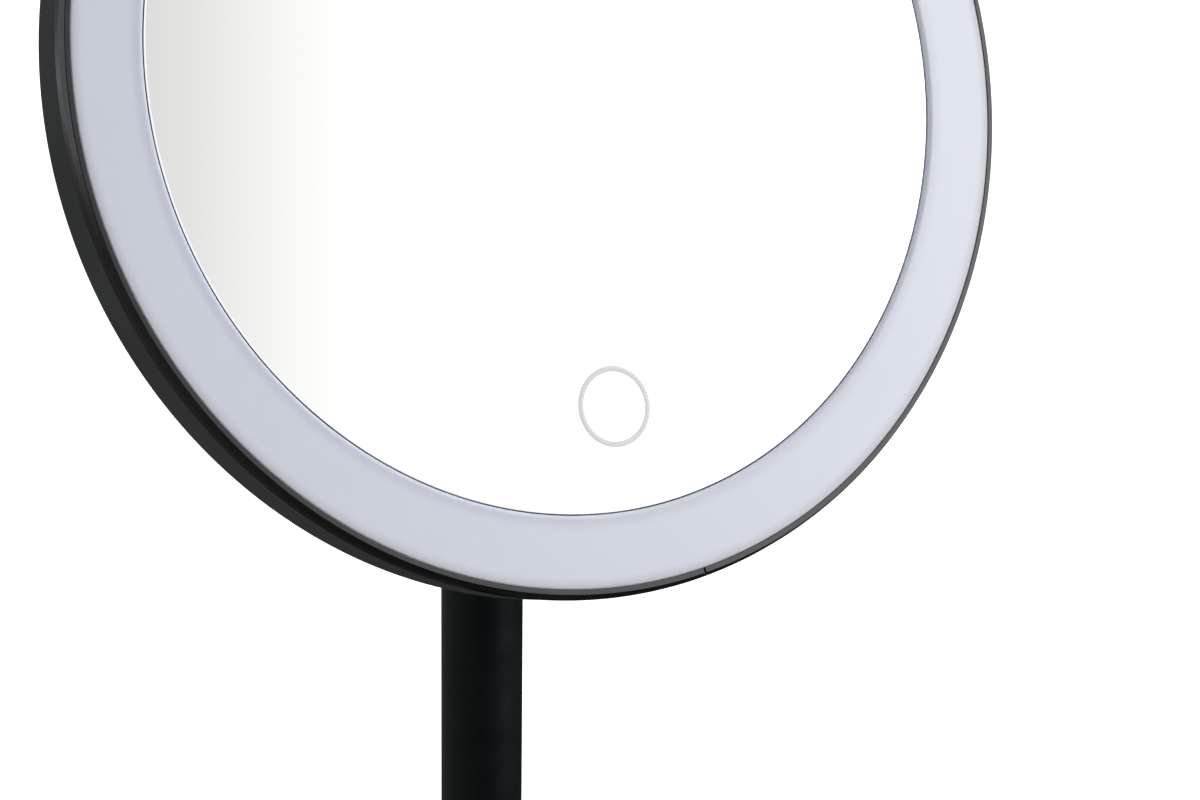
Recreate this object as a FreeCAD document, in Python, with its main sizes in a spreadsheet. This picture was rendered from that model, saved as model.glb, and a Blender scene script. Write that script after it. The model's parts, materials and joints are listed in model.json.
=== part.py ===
"""Extendable shaving mirror: a lit round mirror head on a telescopic column with a weighted base.

Frame: +Z up, the mirror faces -Y, the origin is the centre of the underside that the base rests on.
The head's pieces are drawn in the head's own frame: local +Z comes out of the mirror's face, local +Y
points to 12 o'clock, and level 0 is the plane of the bezel's front.
"""

import FreeCAD, Part
import math
import os

import Sketcher
from FreeCAD import Placement, Rotation, Vector

DIMENSIONS = {
    # head, outside
    "head_radius": 100.0,
    "head_depth": 13.8,
    "head_tilt": 21.83,
    "pivot_to_front": 31.83,
    "bezel_inner_radius": 98.0,
    "bezel_depth": 2.85,
    "bezel_round": 1.17,
    "split_gap": 0.15,
    "lap_length": 2.4,
    "case_wall": 1.9,
    "case_floor": 1.8,
    "case_draft": 0.75,
    "case_round": 1.0,
    # diffuser, glass and touch ring
    "diffuser_inner_radius": 83.85,
    "diffuser_plate": 2.2,
    "diffuser_skirt": 1.5,
    "diffuser_height": 5.5,
    "diffuser_round": 1.1,
    "diffuser_outer_round": 0.3,
    "fit_gap": 0.1,
    "glass_gap": 0.3,
    "glass_recess": 0.9,
    "glass_thickness": 3.0,
    "glass_bevel": 0.5,
    "touch_outer_radius": 7.75,
    "touch_inner_radius": 6.7,
    "touch_below_centre": 64.1,
    "etch_depth": 0.1,
    # reflector tray and lights
    "mirror_tape_thickness": 1.7,
    "mirror_tape_inner_radius": 74.0,
    "mirror_tape_outer_radius": 82.0,
    "tray_plate": 1.4,
    "tray_rib": 1.2,
    "tray_play": 0.2,
    "touch_window_margin": 0.9,
    "channel_depth": 1.8,
    "channel_floor": 1.2,
    "channel_inner_radius": 86.4,
    "channel_outer_radius": 95.0,
    "board_thickness": 1.2,
    "led_size": 2.8,
    "led_height": 0.7,
    "led_count": 60,
    "led_circle_radius": 90.7,
    "led_board_play": 0.4,
    # inside the case
    "housing_screw_radius": 90.5,
    "housing_screw_count": 6,
    "housing_screw_length": 4.6,
    "screw_hole_radius": 1.35,
    "sink_radius": 2.4,
    "sink_depth": 0.9,
    "screw_below_surface": 0.05,
    "cross_width": 0.6,
    "cross_reach": 2.6,
    "cross_depth": 0.45,
    "pilot_radius": 1.1,
    "boss_radius": 2.8,
    "control_width": 46.0,
    "control_height": 22.0,
    "control_level": 8.0,
    "board_screw_spread": 18.0,
    "board_screw_rise": 7.0,
    "board_screw_radius": 0.9,
    "board_screw_head": 1.8,
    "board_screw_bite": 1.6,
    "board_screw_height": 1.1,
    "standoff_radius": 2.2,
    "electrode_radius": 6.4,
    "electrode_pad": 0.5,
    "electrode_stem_radius": 1.5,
    "battery_width": 60.0,
    "battery_height": 38.0,
    "battery_thickness": 4.0,
    "battery_offset": 54.0,
    "battery_tape_thickness": 0.6,
    "battery_tape_inset": 8.0,
    "socket_width": 8.94,
    "socket_height": 3.26,
    "socket_length": 7.3,
    "socket_level": 10.3,
    "socket_spin": 30.0,
    "socket_recess": 1.0,
    "socket_shell": 0.3,
    "socket_tongue_width": 6.7,
    "socket_tongue": 0.7,
    "socket_slot_play": 0.2,
    "charging_board_width": 16.0,
    "charging_board_length": 11.0,
    "charging_board_thickness": 1.0,
    "lead_radius": 0.6,
    "lead_gap": 1.5,
    "lead_bend": 2.5,
    "lead_below_tray": 1.6,
    # head bracket and tilt hinge
    "stiffener_radius": 28.0,
    "stiffener_thickness": 1.2,
    "bracket_radius": 20.0,
    "bracket_thickness": 3.0,
    "bracket_round": 1.2,
    "bracket_screw_circle": 14.0,
    "bracket_screw_radius": 1.5,
    "bracket_screw_bite": 2.6,
    "bracket_hole_radius": 1.6,
    "pan_head_radius": 2.7,
    "pan_head_height": 1.6,
    "pan_socket_radius": 1.0,
    "pan_socket_depth": 1.0,
    "lug_width": 9.0,
    "lug_radius": 8.0,
    "washer_thickness": 0.5,
    "side_play": 0.05,
    "running_gap": 0.05,
    "cheek_thickness": 3.95,
    "cheek_radius": 8.5,
    "bolt_radius": 2.5,
    "bolt_head_radius": 4.3,
    "bolt_head_height": 2.6,
    "bolt_key_width": 3.0,
    "bolt_key_depth": 1.6,
    "nut_width": 8.0,
    "nut_height": 3.8,
    "washer_radius": 7.5,
    "cap_radius": 6.2,
    "cap_height": 5.0,
    "cap_wall": 0.8,
    "cap_slope": 1.2,
    # swivel and column
    "pivot_height": 290.0,
    "fork_depth": 12.0,
    "fork_bridge": 4.0,
    "fork_body_radius": 9.0,
    "swivel_stem_radius": 3.5,
    "swivel_stem_length": 15.0,
    "swivel_screw_radius": 1.5,
    "swivel_screw_bite": 8.0,
    "swivel_screw_head": 2.9,
    "swivel_screw_height": 2.2,
    "swivel_washer_radius": 5.2,
    "swivel_washer_thickness": 1.0,
    "bush_flange": 1.5,
    "bush_flange_radius": 8.0,
    "inner_tube_radius": 6.5,
    "inner_tube_wall": 1.0,
    "inner_tube_length": 205.0,
    "outer_tube_radius": 8.4,
    "outer_tube_wall": 1.2,
    "outer_tube_top": 228.0,
    "glide_grip": 16.0,
    "glide_length": 8.0,
    "glide_bore_radius": 2.5,
    # twist lock
    "collet_depth": 20.0,
    "collet_flange": 2.0,
    "collet_finger": 9.0,
    "collet_slit": 0.8,
    "collet_slits": 3,
    "collet_taper": 0.4,
    "collar_radius": 10.6,
    "collar_skirt": 16.0,
    "collar_roof": 2.0,
    "collar_top_round": 1.5,
    "collar_foot_round": 0.8,
    "collar_play": 0.4,
    "collar_flutes": 24,
    "flute_radius": 0.55,
    "flute_offset": 0.15,
    "flute_above_foot": 3.0,
    "flute_below_top": 5.0,
    # base
    "base_radius": 75.0,
    "base_height": 12.0,
    "base_wall": 1.5,
    "base_round": 2.4,
    "base_foot_round": 0.5,
    "cover_overlap": 0.4,
    "pad_radius": 71.0,
    "pad_thickness": 1.2,
    "pad_round": 0.4,
    "plate_thickness": 1.1,
    "weight_radius": 73.0,
    "weight_thickness": 8.0,
    "plate_screw_circle": 58.0,
    "plate_screw_radius": 1.4,
    "plate_screw_bite": 4.8,
    "plate_screw_head": 2.8,
    "plate_hole_radius": 2.9,
    "bolt_recess_radius": 9.5,
    "bolt_recess_depth": 3.0,
    "stud_radius": 4.0,
    "stud_head_radius": 6.5,
    "stud_key_width": 5.0,
    "stud_key_depth": 2.0,
    "base_washer_radius": 8.5,
    "base_washer_thickness": 1.4,
    "foot_plug_length": 34.0,
    "flange_radius": 13.0,
    "flange_height": 4.0,
    "flange_round": 2.5,
}

document = FreeCAD.newDocument("ShavingMirror")
sheet = document.addObject("Spreadsheet::Sheet", "Sizes")
subparts = []


class Size:
    """A length or angle worked out from the sheet: its value, and the expression that gives it."""

    def __init__(self, value, text):
        self.value = float(value)
        self.text = text

    def __add__(self, other):
        other = size_of(other)
        return Size(self.value + other.value, f"({self.text} + {other.text})")

    def __sub__(self, other):
        other = size_of(other)
        return Size(self.value - other.value, f"({self.text} - {other.text})")

    def __mul__(self, factor):
        return Size(self.value * factor, f"({self.text} * {factor})")

    def __neg__(self):
        return Size(-self.value, f"(0 - {self.text})")

    __radd__ = __add__

    def __rsub__(self, other):
        return size_of(other) - self


def size_of(value):
    """A plain number as a Size."""
    return value if isinstance(value, Size) else Size(value, f"{float(value)}")


class SheetSizes:
    """The sheet's cells, each as a Size."""

    def __getattr__(self, name):
        return Size(DIMENSIONS[name], f"Sizes.{name}")


size = SheetSizes()
ZERO = size_of(0)


def fill_sheet():
    """Writes the driving dimensions, one aliased cell each."""
    for row, (alias, value) in enumerate(DIMENSIONS.items(), start=1):
        sheet.set(f"A{row}", alias)
        sheet.set(f"B{row}", str(value))
        sheet.setAlias(f"B{row}", alias)
    document.recompute()


# ---------------------------------------------------------------- drawing helpers

def bind(feature, prop, value):
    """Sets a property from the sheet."""
    feature.setExpression(prop, size_of(value).text)


def origin_feature(body, role):
    return next(item for item in body.Origin.OriginFeatures if item.Role == role)


def new_body(label, compound=False):
    """A PartDesign body that becomes one sub-part."""
    body = document.addObject("PartDesign::Body", label)
    body.Label = label
    body.AllowCompound = compound
    subparts.append(body)
    return body


def new_sketch(body, role, level=None):
    """A sketch on one of the body's own origin planes, moved along the plane's normal by level."""
    sketch = body.newObject("Sketcher::SketchObject", f"{body.Label}_sketch")
    sketch.AttachmentSupport = [(origin_feature(body, role), "")]
    sketch.MapMode = "FlatFace"
    if level is not None:
        sketch.AttachmentOffset = Placement(Vector(0, 0, level.value), Rotation())
        bind(sketch, "AttachmentOffset.Base.z", level)
    return sketch


def pin_point(sketch, item, point, x, y):
    """Ties a point to the sketch's origin at (x, y), both from the sheet."""
    for kind, axis, distance in (("DistanceX", -2, x), ("DistanceY", -1, y)):
        if abs(distance.value) < 1e-9:
            sketch.addConstraint(Sketcher.Constraint("PointOnObject", item, point, axis))
            continue
        ends = (-1, 1, item, point) if distance.value > 0 else (item, point, -1, 1)
        number = sketch.addConstraint(Sketcher.Constraint(kind, *ends, abs(distance.value)))
        bind(sketch, f"Constraints[{number}]", distance if distance.value > 0 else -distance)


def draw_outline(sketch, points):
    """A closed outline of straight edges through points given in sheet sizes."""
    corners = [(size_of(x), size_of(y)) for x, y in points]
    count = len(corners)
    first = len(sketch.Geometry)
    for (x, y), (next_x, next_y) in zip(corners, corners[1:] + corners[:1]):
        line = Part.LineSegment(Vector(x.value, y.value, 0), Vector(next_x.value, next_y.value, 0))
        sketch.addGeometry(line, False)
    for index in range(count):
        following = first + (index + 1) % count
        sketch.addConstraint(Sketcher.Constraint("Coincident", first + index, 2, following, 1))
    for index, (x, y) in enumerate(corners):
        pin_point(sketch, first + index, 1, x, y)


def draw_circle(sketch, x, y, radius):
    x, y, radius = size_of(x), size_of(y), size_of(radius)
    circle = Part.Circle(Vector(x.value, y.value, 0), Vector(0, 0, 1), radius.value)
    item = sketch.addGeometry(circle, False)
    pin_point(sketch, item, 3, x, y)
    number = sketch.addConstraint(Sketcher.Constraint("Radius", item, radius.value))
    bind(sketch, f"Constraints[{number}]", radius)


def draw_rectangle(sketch, width, height, x=ZERO, y=ZERO):
    """A rectangle of that width and height, centred on (x, y)."""
    left, right = x - width * 0.5, x + width * 0.5
    low, high = y - height * 0.5, y + height * 0.5
    draw_outline(sketch, [(left, low), (right, low), (right, high), (left, high)])


def checked(feature, rule):
    """Recomputes and tests that a feature changed its body's volume the right way."""
    document.recompute()
    before = feature.BaseFeature.Shape.Volume if feature.BaseFeature else 0.0
    if not rule(feature.Shape.Volume, before):
        raise RuntimeError(f"{feature.Label} did not change its body as meant")
    return feature


def turned(body, points):
    """Revolves an outline of (radius, level) points about the body's Z axis."""
    sketch = new_sketch(body, "XZ_Plane")
    draw_outline(sketch, points)
    feature = body.newObject("PartDesign::Revolution", f"{body.Label}_turned")
    feature.Profile = sketch
    feature.ReferenceAxis = (sketch, ["V_Axis"])
    feature.Angle = 360
    return checked(feature, lambda after, before: after > before)


def off_axis_turned(body, centre, points):
    """Revolves an outline about a line parallel to Z that crosses the X axis at centre."""
    sketch = new_sketch(body, "XZ_Plane")
    draw_outline(sketch, [(centre + radius, level) for radius, level in points])
    axis = Part.LineSegment(Vector(centre.value, 0, 0), Vector(centre.value, 1, 0))
    item = sketch.addGeometry(axis, True)
    pin_point(sketch, item, 1, centre, ZERO)
    pin_point(sketch, item, 2, centre, size_of(1))
    feature = body.newObject("PartDesign::Revolution", f"{body.Label}_turned")
    feature.Profile = sketch
    feature.ReferenceAxis = (sketch, ["Axis0"])
    feature.Angle = 360
    return checked(feature, lambda after, before: after > before)


def padded(body, sketch, length, midplane=False, reverse=False):
    feature = body.newObject("PartDesign::Pad", f"{body.Label}_pad")
    feature.Profile = sketch
    feature.SideType = "Symmetric" if midplane else "One side"
    feature.Reversed = reverse
    bind(feature, "Length", length)
    return checked(feature, lambda after, before: after > before)


def pocketed(body, sketch, length, midplane=False, reverse=False):
    """Cuts the sketch into the body, against the sketch's normal unless reversed."""
    feature = body.newObject("PartDesign::Pocket", f"{body.Label}_pocket")
    feature.Profile = sketch
    feature.SideType = "Symmetric" if midplane else "One side"
    feature.Reversed = reverse
    bind(feature, "Length", length)
    return checked(feature, lambda after, before: after < before)


def repeated(body, features, count):
    """Repeats features round the body's Z axis."""
    pattern = body.newObject("PartDesign::PolarPattern", f"{body.Label}_ring")
    pattern.Originals = features
    pattern.Axis = (origin_feature(body, "Z_Axis"), [""])
    pattern.Angle = 360
    bind(pattern, "Occurrences", count)
    body.Tip = pattern
    document.recompute()
    return pattern


def mirrored(body, features, role):
    """Repeats features on the other side of one of the body's origin planes."""
    pattern = body.newObject("PartDesign::Mirrored", f"{body.Label}_mirrored")
    pattern.Originals = features
    pattern.MirrorPlane = (origin_feature(body, role), [""])
    body.Tip = pattern
    document.recompute()
    return pattern


def rim_edges(feature, radius, level):
    """The names of the circular edges of that radius at that level."""
    names = []
    for number, edge in enumerate(feature.Shape.Edges, start=1):
        curve = edge.Curve
        if not isinstance(curve, Part.Circle):
            continue
        if abs(curve.Radius - radius.value) < 0.01 and abs(curve.Center.z - level.value) < 0.01:
            names.append(f"Edge{number}")
    return names


def dressed(body, base, kind, rims, amount):
    """A fillet or a chamfer on the circular rims of a feature, each rim a (radius, level)."""
    feature = body.newObject(f"PartDesign::{kind}", f"{body.Label}_{kind.lower()}")
    names = [name for radius, level in rims for name in rim_edges(base, size_of(radius), size_of(level))]
    if len(names) < len(rims):
        raise RuntimeError(f"{body.Label} has no such rim")
    feature.Base = (base, names)
    bind(feature, "Radius" if kind == "Fillet" else "Size", amount)
    return checked(feature, lambda after, before: after < before)


def box(label, width, depth, height, x, y, z):
    """A Part box centred on (x, y) in plan, standing on level z."""
    block = document.addObject("Part::Box", label)
    block.Label = label
    for prop, value in (("Length", width), ("Width", depth), ("Height", height)):
        bind(block, prop, value)
    corner = (x - width * 0.5, y - depth * 0.5, z)
    block.Placement = Placement(Vector(*(item.value for item in corner)), Rotation())
    for axis, value in zip("xyz", corner):
        bind(block, f"Placement.Base.{axis}", value)
    return block


def group(label, members):
    """Separate solids that share one node."""
    compound = document.addObject("Part::Compound", label)
    compound.Label = label
    compound.Links = members
    subparts.append(compound)
    return compound


# ---------------------------------------------------------------- places

def on_head(subpart, spin=0.0):
    """Puts a sub-part drawn in the head's frame in its place, turned by spin about the mirror's axis."""
    tilt = size.head_tilt.value
    reach = size.pivot_to_front.value
    drop = Vector(0, -reach * math.cos(math.radians(tilt)), 0)
    rise = Vector(0, 0, size.pivot_height.value + reach * math.sin(math.radians(tilt)))
    facing = Placement(drop + rise, Rotation(Vector(1, 0, 0), 90 - tilt))
    subpart.Placement = facing * Placement(Vector(), Rotation(Vector(0, 0, 1), spin))
    bind_base(subpart, "y", "0 - Sizes.pivot_to_front * cos(Sizes.head_tilt * 1 deg)")
    bind_base(subpart, "z", "Sizes.pivot_height + Sizes.pivot_to_front * sin(Sizes.head_tilt * 1 deg)")
    return subpart


def bind_base(subpart, axis, text):
    subpart.setExpression(f"Placement.Base.{axis}", text)


def on_pivot(subpart, along_axle=False):
    """Puts a sub-part at the tilt pivot, upright, or with its Z axis along the axle (+X)."""
    turn = Rotation(Vector(0, 1, 0), 90) if along_axle else Rotation()
    subpart.Placement = Placement(Vector(0, 0, size.pivot_height.value), turn)
    bind_base(subpart, "z", "Sizes.pivot_height")
    return subpart


# ---------------------------------------------------------------- levels in the head

diffuser_outer = size.bezel_inner_radius - size.fit_gap
glass_radius = size.diffuser_inner_radius - size.glass_gap
glass_front = -size.glass_recess
glass_back = glass_front - size.glass_thickness
tray_front = glass_back - size.mirror_tape_thickness
tray_back = tray_front - size.tray_plate
channel_top = tray_front - size.channel_depth
channel_back = channel_top - size.channel_floor
case_back = -size.head_depth
case_inside = case_back + size.case_floor
case_radius = size.head_radius - size.fit_gap
lap_radius = size.head_radius - size.case_wall * 0.5 - size.split_gap
control_front = -size.control_level
control_back = control_front - size.board_thickness
control_centre = -size.touch_below_centre
bracket_back = case_back - size.bracket_thickness


# ---------------------------------------------------------------- head: case and face

def make_front_bezel():
    """The front ring of the case, with a thin lap that goes inside the rear housing."""
    body = on_head(new_body("front_bezel"))
    inner, outer = size.bezel_inner_radius, size.head_radius
    step = -size.bezel_depth
    lap = step - size.lap_length
    ring = turned(body, [(inner, 0), (outer, 0), (outer, step), (lap_radius, step),
                         (lap_radius, lap), (inner, lap)])
    dressed(body, ring, "Fillet", [(outer, ZERO)], size.bezel_round)


def make_rear_housing():
    """The pan behind the head, a little narrower at the back, with its screw holes and the socket's slot."""
    body = on_head(new_body("rear_housing"), spin=size.socket_spin.value)
    front = -size.bezel_depth - size.split_gap
    step = -size.bezel_depth - size.lap_length - size.split_gap
    inner = size.head_radius - size.case_wall - size.fit_gap
    rim = case_radius - size.case_draft
    pan = turned(body, [(0, case_back), (rim, case_back), (case_radius, front),
                        (lap_radius + size.running_gap, front), (lap_radius + size.running_gap, step),
                        (inner, step), (inner, case_inside), (0, case_inside)])
    dressed(body, pan, "Fillet", [(rim, case_back)], size.case_round)
    hole = new_sketch(body, "XY_Plane", case_back)
    draw_circle(hole, size.housing_screw_radius, 0, size.screw_hole_radius)
    drilled = pocketed(body, hole, size.case_floor, reverse=True)
    sink = new_sketch(body, "XY_Plane", case_back)
    draw_circle(sink, size.housing_screw_radius, 0, size.sink_radius)
    sunk = pocketed(body, sink, size.sink_depth, reverse=True)
    repeated(body, [drilled, sunk], size.housing_screw_count)
    clearance = new_sketch(body, "XY_Plane", case_back)
    for x, y in screw_square(size.bracket_screw_circle, turn=-size.socket_spin.value):
        draw_circle(clearance, x, y, size.bracket_hole_radius)
    pocketed(body, clearance, size.case_floor, reverse=True)
    slot_depth = size.case_wall * 2
    slot = new_sketch(body, "XZ_Plane", size.head_radius - slot_depth)
    draw_rectangle(slot, size.socket_width + size.socket_slot_play * 2,
                   size.socket_height + size.socket_slot_play, ZERO, -size.socket_level)
    pocketed(body, slot, slot_depth + 1, reverse=True)


def screw_square(circle_radius, turn=0.0):
    """The corners of a square on a circle, its sides along the axes unless turned, in degrees."""
    angles = [math.radians(45 + 90 * step + turn) for step in range(4)]
    return [(circle_radius * math.cos(angle), circle_radius * math.sin(angle)) for angle in angles]


def make_diffuser_ring():
    """The opal ring over the lights: a front plate with two skirts that stand on the tray."""
    body = on_head(new_body("diffuser_ring"))
    inner, outer, skirt = size.diffuser_inner_radius, diffuser_outer, size.diffuser_skirt
    plate, foot = -size.diffuser_plate, -size.diffuser_height
    ring = turned(body, [(inner, 0), (outer, 0), (outer, foot), (outer - skirt, foot),
                         (outer - skirt, plate), (inner + skirt, plate), (inner + skirt, foot),
                         (inner, foot)])
    dressed(body, ring, "Fillet", [(inner, ZERO)], size.diffuser_round)
    dressed(body, body.Tip, "Fillet", [(outer, ZERO)], size.diffuser_outer_round)


def make_mirror_glass():
    """The round glass with a bevelled front edge and the etched groove of the touch ring."""
    body = on_head(new_body("mirror_glass"))
    disc = turned(body, [(0, glass_front), (glass_radius, glass_front), (glass_radius, glass_back),
                         (0, glass_back)])
    dressed(body, disc, "Chamfer", [(glass_radius, glass_front)], size.glass_bevel)
    etch = new_sketch(body, "XY_Plane", glass_front)
    draw_circle(etch, 0, -size.touch_below_centre, size.touch_outer_radius)
    draw_circle(etch, 0, -size.touch_below_centre, size.touch_inner_radius)
    pocketed(body, etch, size.etch_depth)


def make_touch_ring():
    """The frosted ring that marks the touch switch, flush with the glass."""
    body = on_head(new_body("touch_ring"))
    ring = new_sketch(body, "XY_Plane", glass_front)
    draw_circle(ring, 0, -size.touch_below_centre, size.touch_outer_radius)
    draw_circle(ring, 0, -size.touch_below_centre, size.touch_inner_radius)
    padded(body, ring, size.etch_depth, reverse=True)


def make_mirror_tape():
    """The foam tape ring that holds the glass on the tray."""
    body = on_head(new_body("mirror_tape"))
    inner, outer = size.mirror_tape_inner_radius, size.mirror_tape_outer_radius
    turned(body, [(inner, glass_back), (outer, glass_back), (outer, tray_front), (inner, tray_front)])


def make_reflector_tray():
    """The white tray: a plate that carries the glass, a channel for the lights, and screw bosses."""
    body = on_head(new_body("reflector_tray"))
    inner, outer = size.channel_inner_radius, size.channel_outer_radius
    ledge = size.bezel_inner_radius - size.tray_play
    rib = size.tray_rib
    turned(body, [(0, tray_front), (inner, tray_front), (inner, channel_top), (outer, channel_top),
                  (outer, tray_front), (ledge, tray_front), (ledge, tray_front - rib),
                  (outer + rib, tray_front - rib), (outer + rib, channel_back),
                  (inner - rib, channel_back), (inner - rib, tray_back), (0, tray_back)])
    post = new_sketch(body, "XY_Plane", channel_back)
    draw_circle(post, 0, size.housing_screw_radius, size.boss_radius)
    boss = padded(body, post, channel_back - case_inside - size.fit_gap, reverse=True)
    pilot = new_sketch(body, "XY_Plane", case_inside)
    draw_circle(pilot, 0, size.housing_screw_radius, size.pilot_radius)
    bored = pocketed(body, pilot, channel_back - case_inside + size.channel_floor * 0.5, reverse=True)
    repeated(body, [boss, bored], size.housing_screw_count)
    window = new_sketch(body, "XY_Plane", tray_front)
    draw_circle(window, 0, -size.touch_below_centre, size.touch_outer_radius + size.touch_window_margin)
    pocketed(body, window, size.tray_plate)
    stand = new_sketch(body, "XY_Plane", tray_back)
    for x, y in board_screw_places():
        draw_circle(stand, x, y, size.standoff_radius)
    padded(body, stand, tray_back - control_front, reverse=True)
    screw_hole = new_sketch(body, "XY_Plane", control_front)
    for x, y in board_screw_places():
        draw_circle(screw_hole, x, y, size.board_screw_radius)
    pocketed(body, screw_hole, size.board_screw_bite + size.tray_play, reverse=True)


def board_screw_places():
    """Where the control board's two screws stand."""
    level = control_centre + size.board_screw_rise
    return [(-size.board_screw_spread, level), (size.board_screw_spread, level)]


# ---------------------------------------------------------------- head: lights and electronics

def make_led_ring_board():
    body = on_head(new_body("led_ring_board"))
    inner = size.channel_inner_radius + size.led_board_play
    outer = size.channel_outer_radius - size.led_board_play
    front = channel_top + size.board_thickness
    turned(body, [(inner, front), (outer, front), (outer, channel_top), (inner, channel_top)])


def make_leds():
    """The light-emitting diodes on the ring board."""
    body = on_head(new_body("leds", compound=True))
    chip = new_sketch(body, "XY_Plane", channel_top + size.board_thickness)
    draw_rectangle(chip, size.led_size, size.led_size, size.led_circle_radius, ZERO)
    first = padded(body, chip, size.led_height)
    repeated(body, [first], size.led_count)


def make_touch_electrode():
    """The sprung electrode between the back of the glass and the control board."""
    body = on_head(new_body("touch_electrode"))
    pad_back = glass_back - size.electrode_pad
    disc = new_sketch(body, "XY_Plane", pad_back)
    draw_circle(disc, 0, control_centre, size.electrode_radius)
    padded(body, disc, size.electrode_pad)
    stem = new_sketch(body, "XY_Plane", pad_back)
    draw_circle(stem, 0, control_centre, size.electrode_stem_radius)
    padded(body, stem, pad_back - control_front, reverse=True)


def make_control_board():
    body = on_head(new_body("control_board"))
    outline = new_sketch(body, "XY_Plane", control_back)
    draw_rectangle(outline, size.control_width, size.control_height, ZERO, control_centre)
    for x, y in board_screw_places():
        draw_circle(outline, x, y, size.board_screw_radius + size.tray_play)
    padded(body, outline, size.board_thickness)


def make_board_screws():
    body = on_head(new_body("board_screws", compound=True))
    heads = new_sketch(body, "XY_Plane", control_back)
    shanks = new_sketch(body, "XY_Plane", control_back)
    for x, y in board_screw_places():
        draw_circle(heads, x, y, size.board_screw_head)
        draw_circle(shanks, x, y, size.board_screw_radius)
    padded(body, heads, size.board_screw_height, reverse=True)
    padded(body, shanks, size.board_thickness + size.board_screw_bite)


def make_board_parts():
    """The driver chip, the coil, the charger chip and two capacitors on the control board.

    Each row gives the part's width, depth, height and place on the board."""
    places = [("driver_chip", 7, 7, 1.2, 2, -3), ("power_coil", 6, 6, 2.3, 13, -4),
              ("charger_chip", 4, 4, 1.0, -8, -4), ("capacitor_left", 3.2, 1.6, 1.4, -15, -6),
              ("capacitor_right", 3.2, 1.6, 1.4, -15, -2)]
    members = []
    for label, width, depth, height, x, y in places:
        level = control_back - height
        members.append(box(label, size_of(width), size_of(depth), size_of(height), size_of(x),
                           control_centre + y, level))
    on_head(group("board_parts", members))


def make_battery():
    """The flat rechargeable cell and the tape that holds it to the tray."""
    tape = box("battery_tape", size.battery_width - size.battery_tape_inset,
               size.battery_height - size.battery_tape_inset, size.battery_tape_thickness,
               ZERO, size.battery_offset, tray_back - size.battery_tape_thickness)
    on_head(group("battery_tapes", [tape]))
    body = on_head(new_body("battery_cell"))
    front = tray_back - size.battery_tape_thickness
    outline = new_sketch(body, "XY_Plane", front)
    draw_rectangle(outline, size.battery_width, size.battery_height, ZERO, size.battery_offset)
    padded(body, outline, size.battery_thickness, reverse=True)


def make_charging_socket():
    """The socket's shell with its contact tongue, and the small board that carries it."""
    body = on_head(new_body("charging_socket"), spin=size.socket_spin.value)
    mouth = size.head_radius - size.socket_recess
    shell = new_sketch(body, "XZ_Plane", mouth - size.socket_length)
    draw_rectangle(shell, size.socket_width, size.socket_height, ZERO, -size.socket_level)
    padded(body, shell, size.socket_length)
    cavity = new_sketch(body, "XZ_Plane", mouth)
    draw_rectangle(cavity, size.socket_width - size.socket_shell * 2,
                   size.socket_height - size.socket_shell * 2, ZERO, -size.socket_level)
    pocketed(body, cavity, size.socket_length - size.socket_shell * 3)
    tongue = new_sketch(body, "XZ_Plane", mouth - size.socket_length)
    draw_rectangle(tongue, size.socket_tongue_width, size.socket_tongue, ZERO, -size.socket_level)
    padded(body, tongue, size.socket_length - size.socket_recess)
    carrier = on_head(new_body("charging_board"), spin=size.socket_spin.value)
    back = mouth - size.socket_length
    thickness = size.charging_board_thickness
    plate = new_sketch(carrier, "XY_Plane", -size.socket_level - thickness * 0.6)
    draw_rectangle(plate, size.charging_board_width, size.charging_board_length, ZERO,
                   -back + size.charging_board_length * 0.5)
    padded(carrier, plate, thickness)


def lead_path(points, bend):
    """Straight runs through points, joined by tangent arcs of one radius."""
    edges = []
    start = points[0]
    for before, corner, after in zip(points, points[1:], points[2:]):
        inward = (before - corner).normalize()
        onward = (after - corner).normalize()
        half = 0.5 * inward.getAngle(onward)
        cut = bend / math.tan(half)
        middle = (inward + onward).normalize() * (bend / math.sin(half) - bend)
        edges.append(Part.LineSegment(start, corner + inward * cut).toShape())
        edges.append(Part.Arc(corner + inward * cut, corner + middle, corner + onward * cut).toShape())
        start = corner + onward * cut
    edges.append(Part.LineSegment(start, points[-1]).toShape())
    return Part.Wire(edges)


def make_leads(label, points):
    """A pair of insulated leads side by side inside the head, through points at one level."""
    level = tray_back.value - size.lead_below_tray.value
    solids = []
    for side in (-0.5 * size.lead_gap.value, 0.5 * size.lead_gap.value):
        route = [Vector(x + side, y + side, level) for x, y in points]
        path = lead_path(route, size.lead_bend.value)
        rim = Part.Wire([Part.makeCircle(size.lead_radius.value, route[0], route[1] - route[0])])
        solids.append(path.makePipeShell([rim], True, False))
    feature = document.addObject("Part::Feature", label)
    feature.Label = label
    feature.Shape = Part.makeCompound(solids)
    subparts.append(on_head(feature))


def make_all_leads():
    """From the cell, the charging board and the lights to the control board's left and right ends."""
    board_top = control_centre.value + 0.5 * size.control_height.value
    board_end = 0.5 * size.control_width.value + size.lead_gap.value
    cell_low = size.battery_offset.value - 0.5 * size.battery_height.value
    make_leads("battery_leads", [(-20, cell_low - 0.8), (-20, cell_low - 12), (-36, -8),
                                 (-36, board_top - 18), (-board_end, board_top - 18)])
    make_leads("charging_leads", [(38, -70.5), (33, -62), (board_end, -62)])
    make_leads("led_leads", [(board_end, -50), (48, -38), (75, -38)])


# ---------------------------------------------------------------- head: fixings

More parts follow.
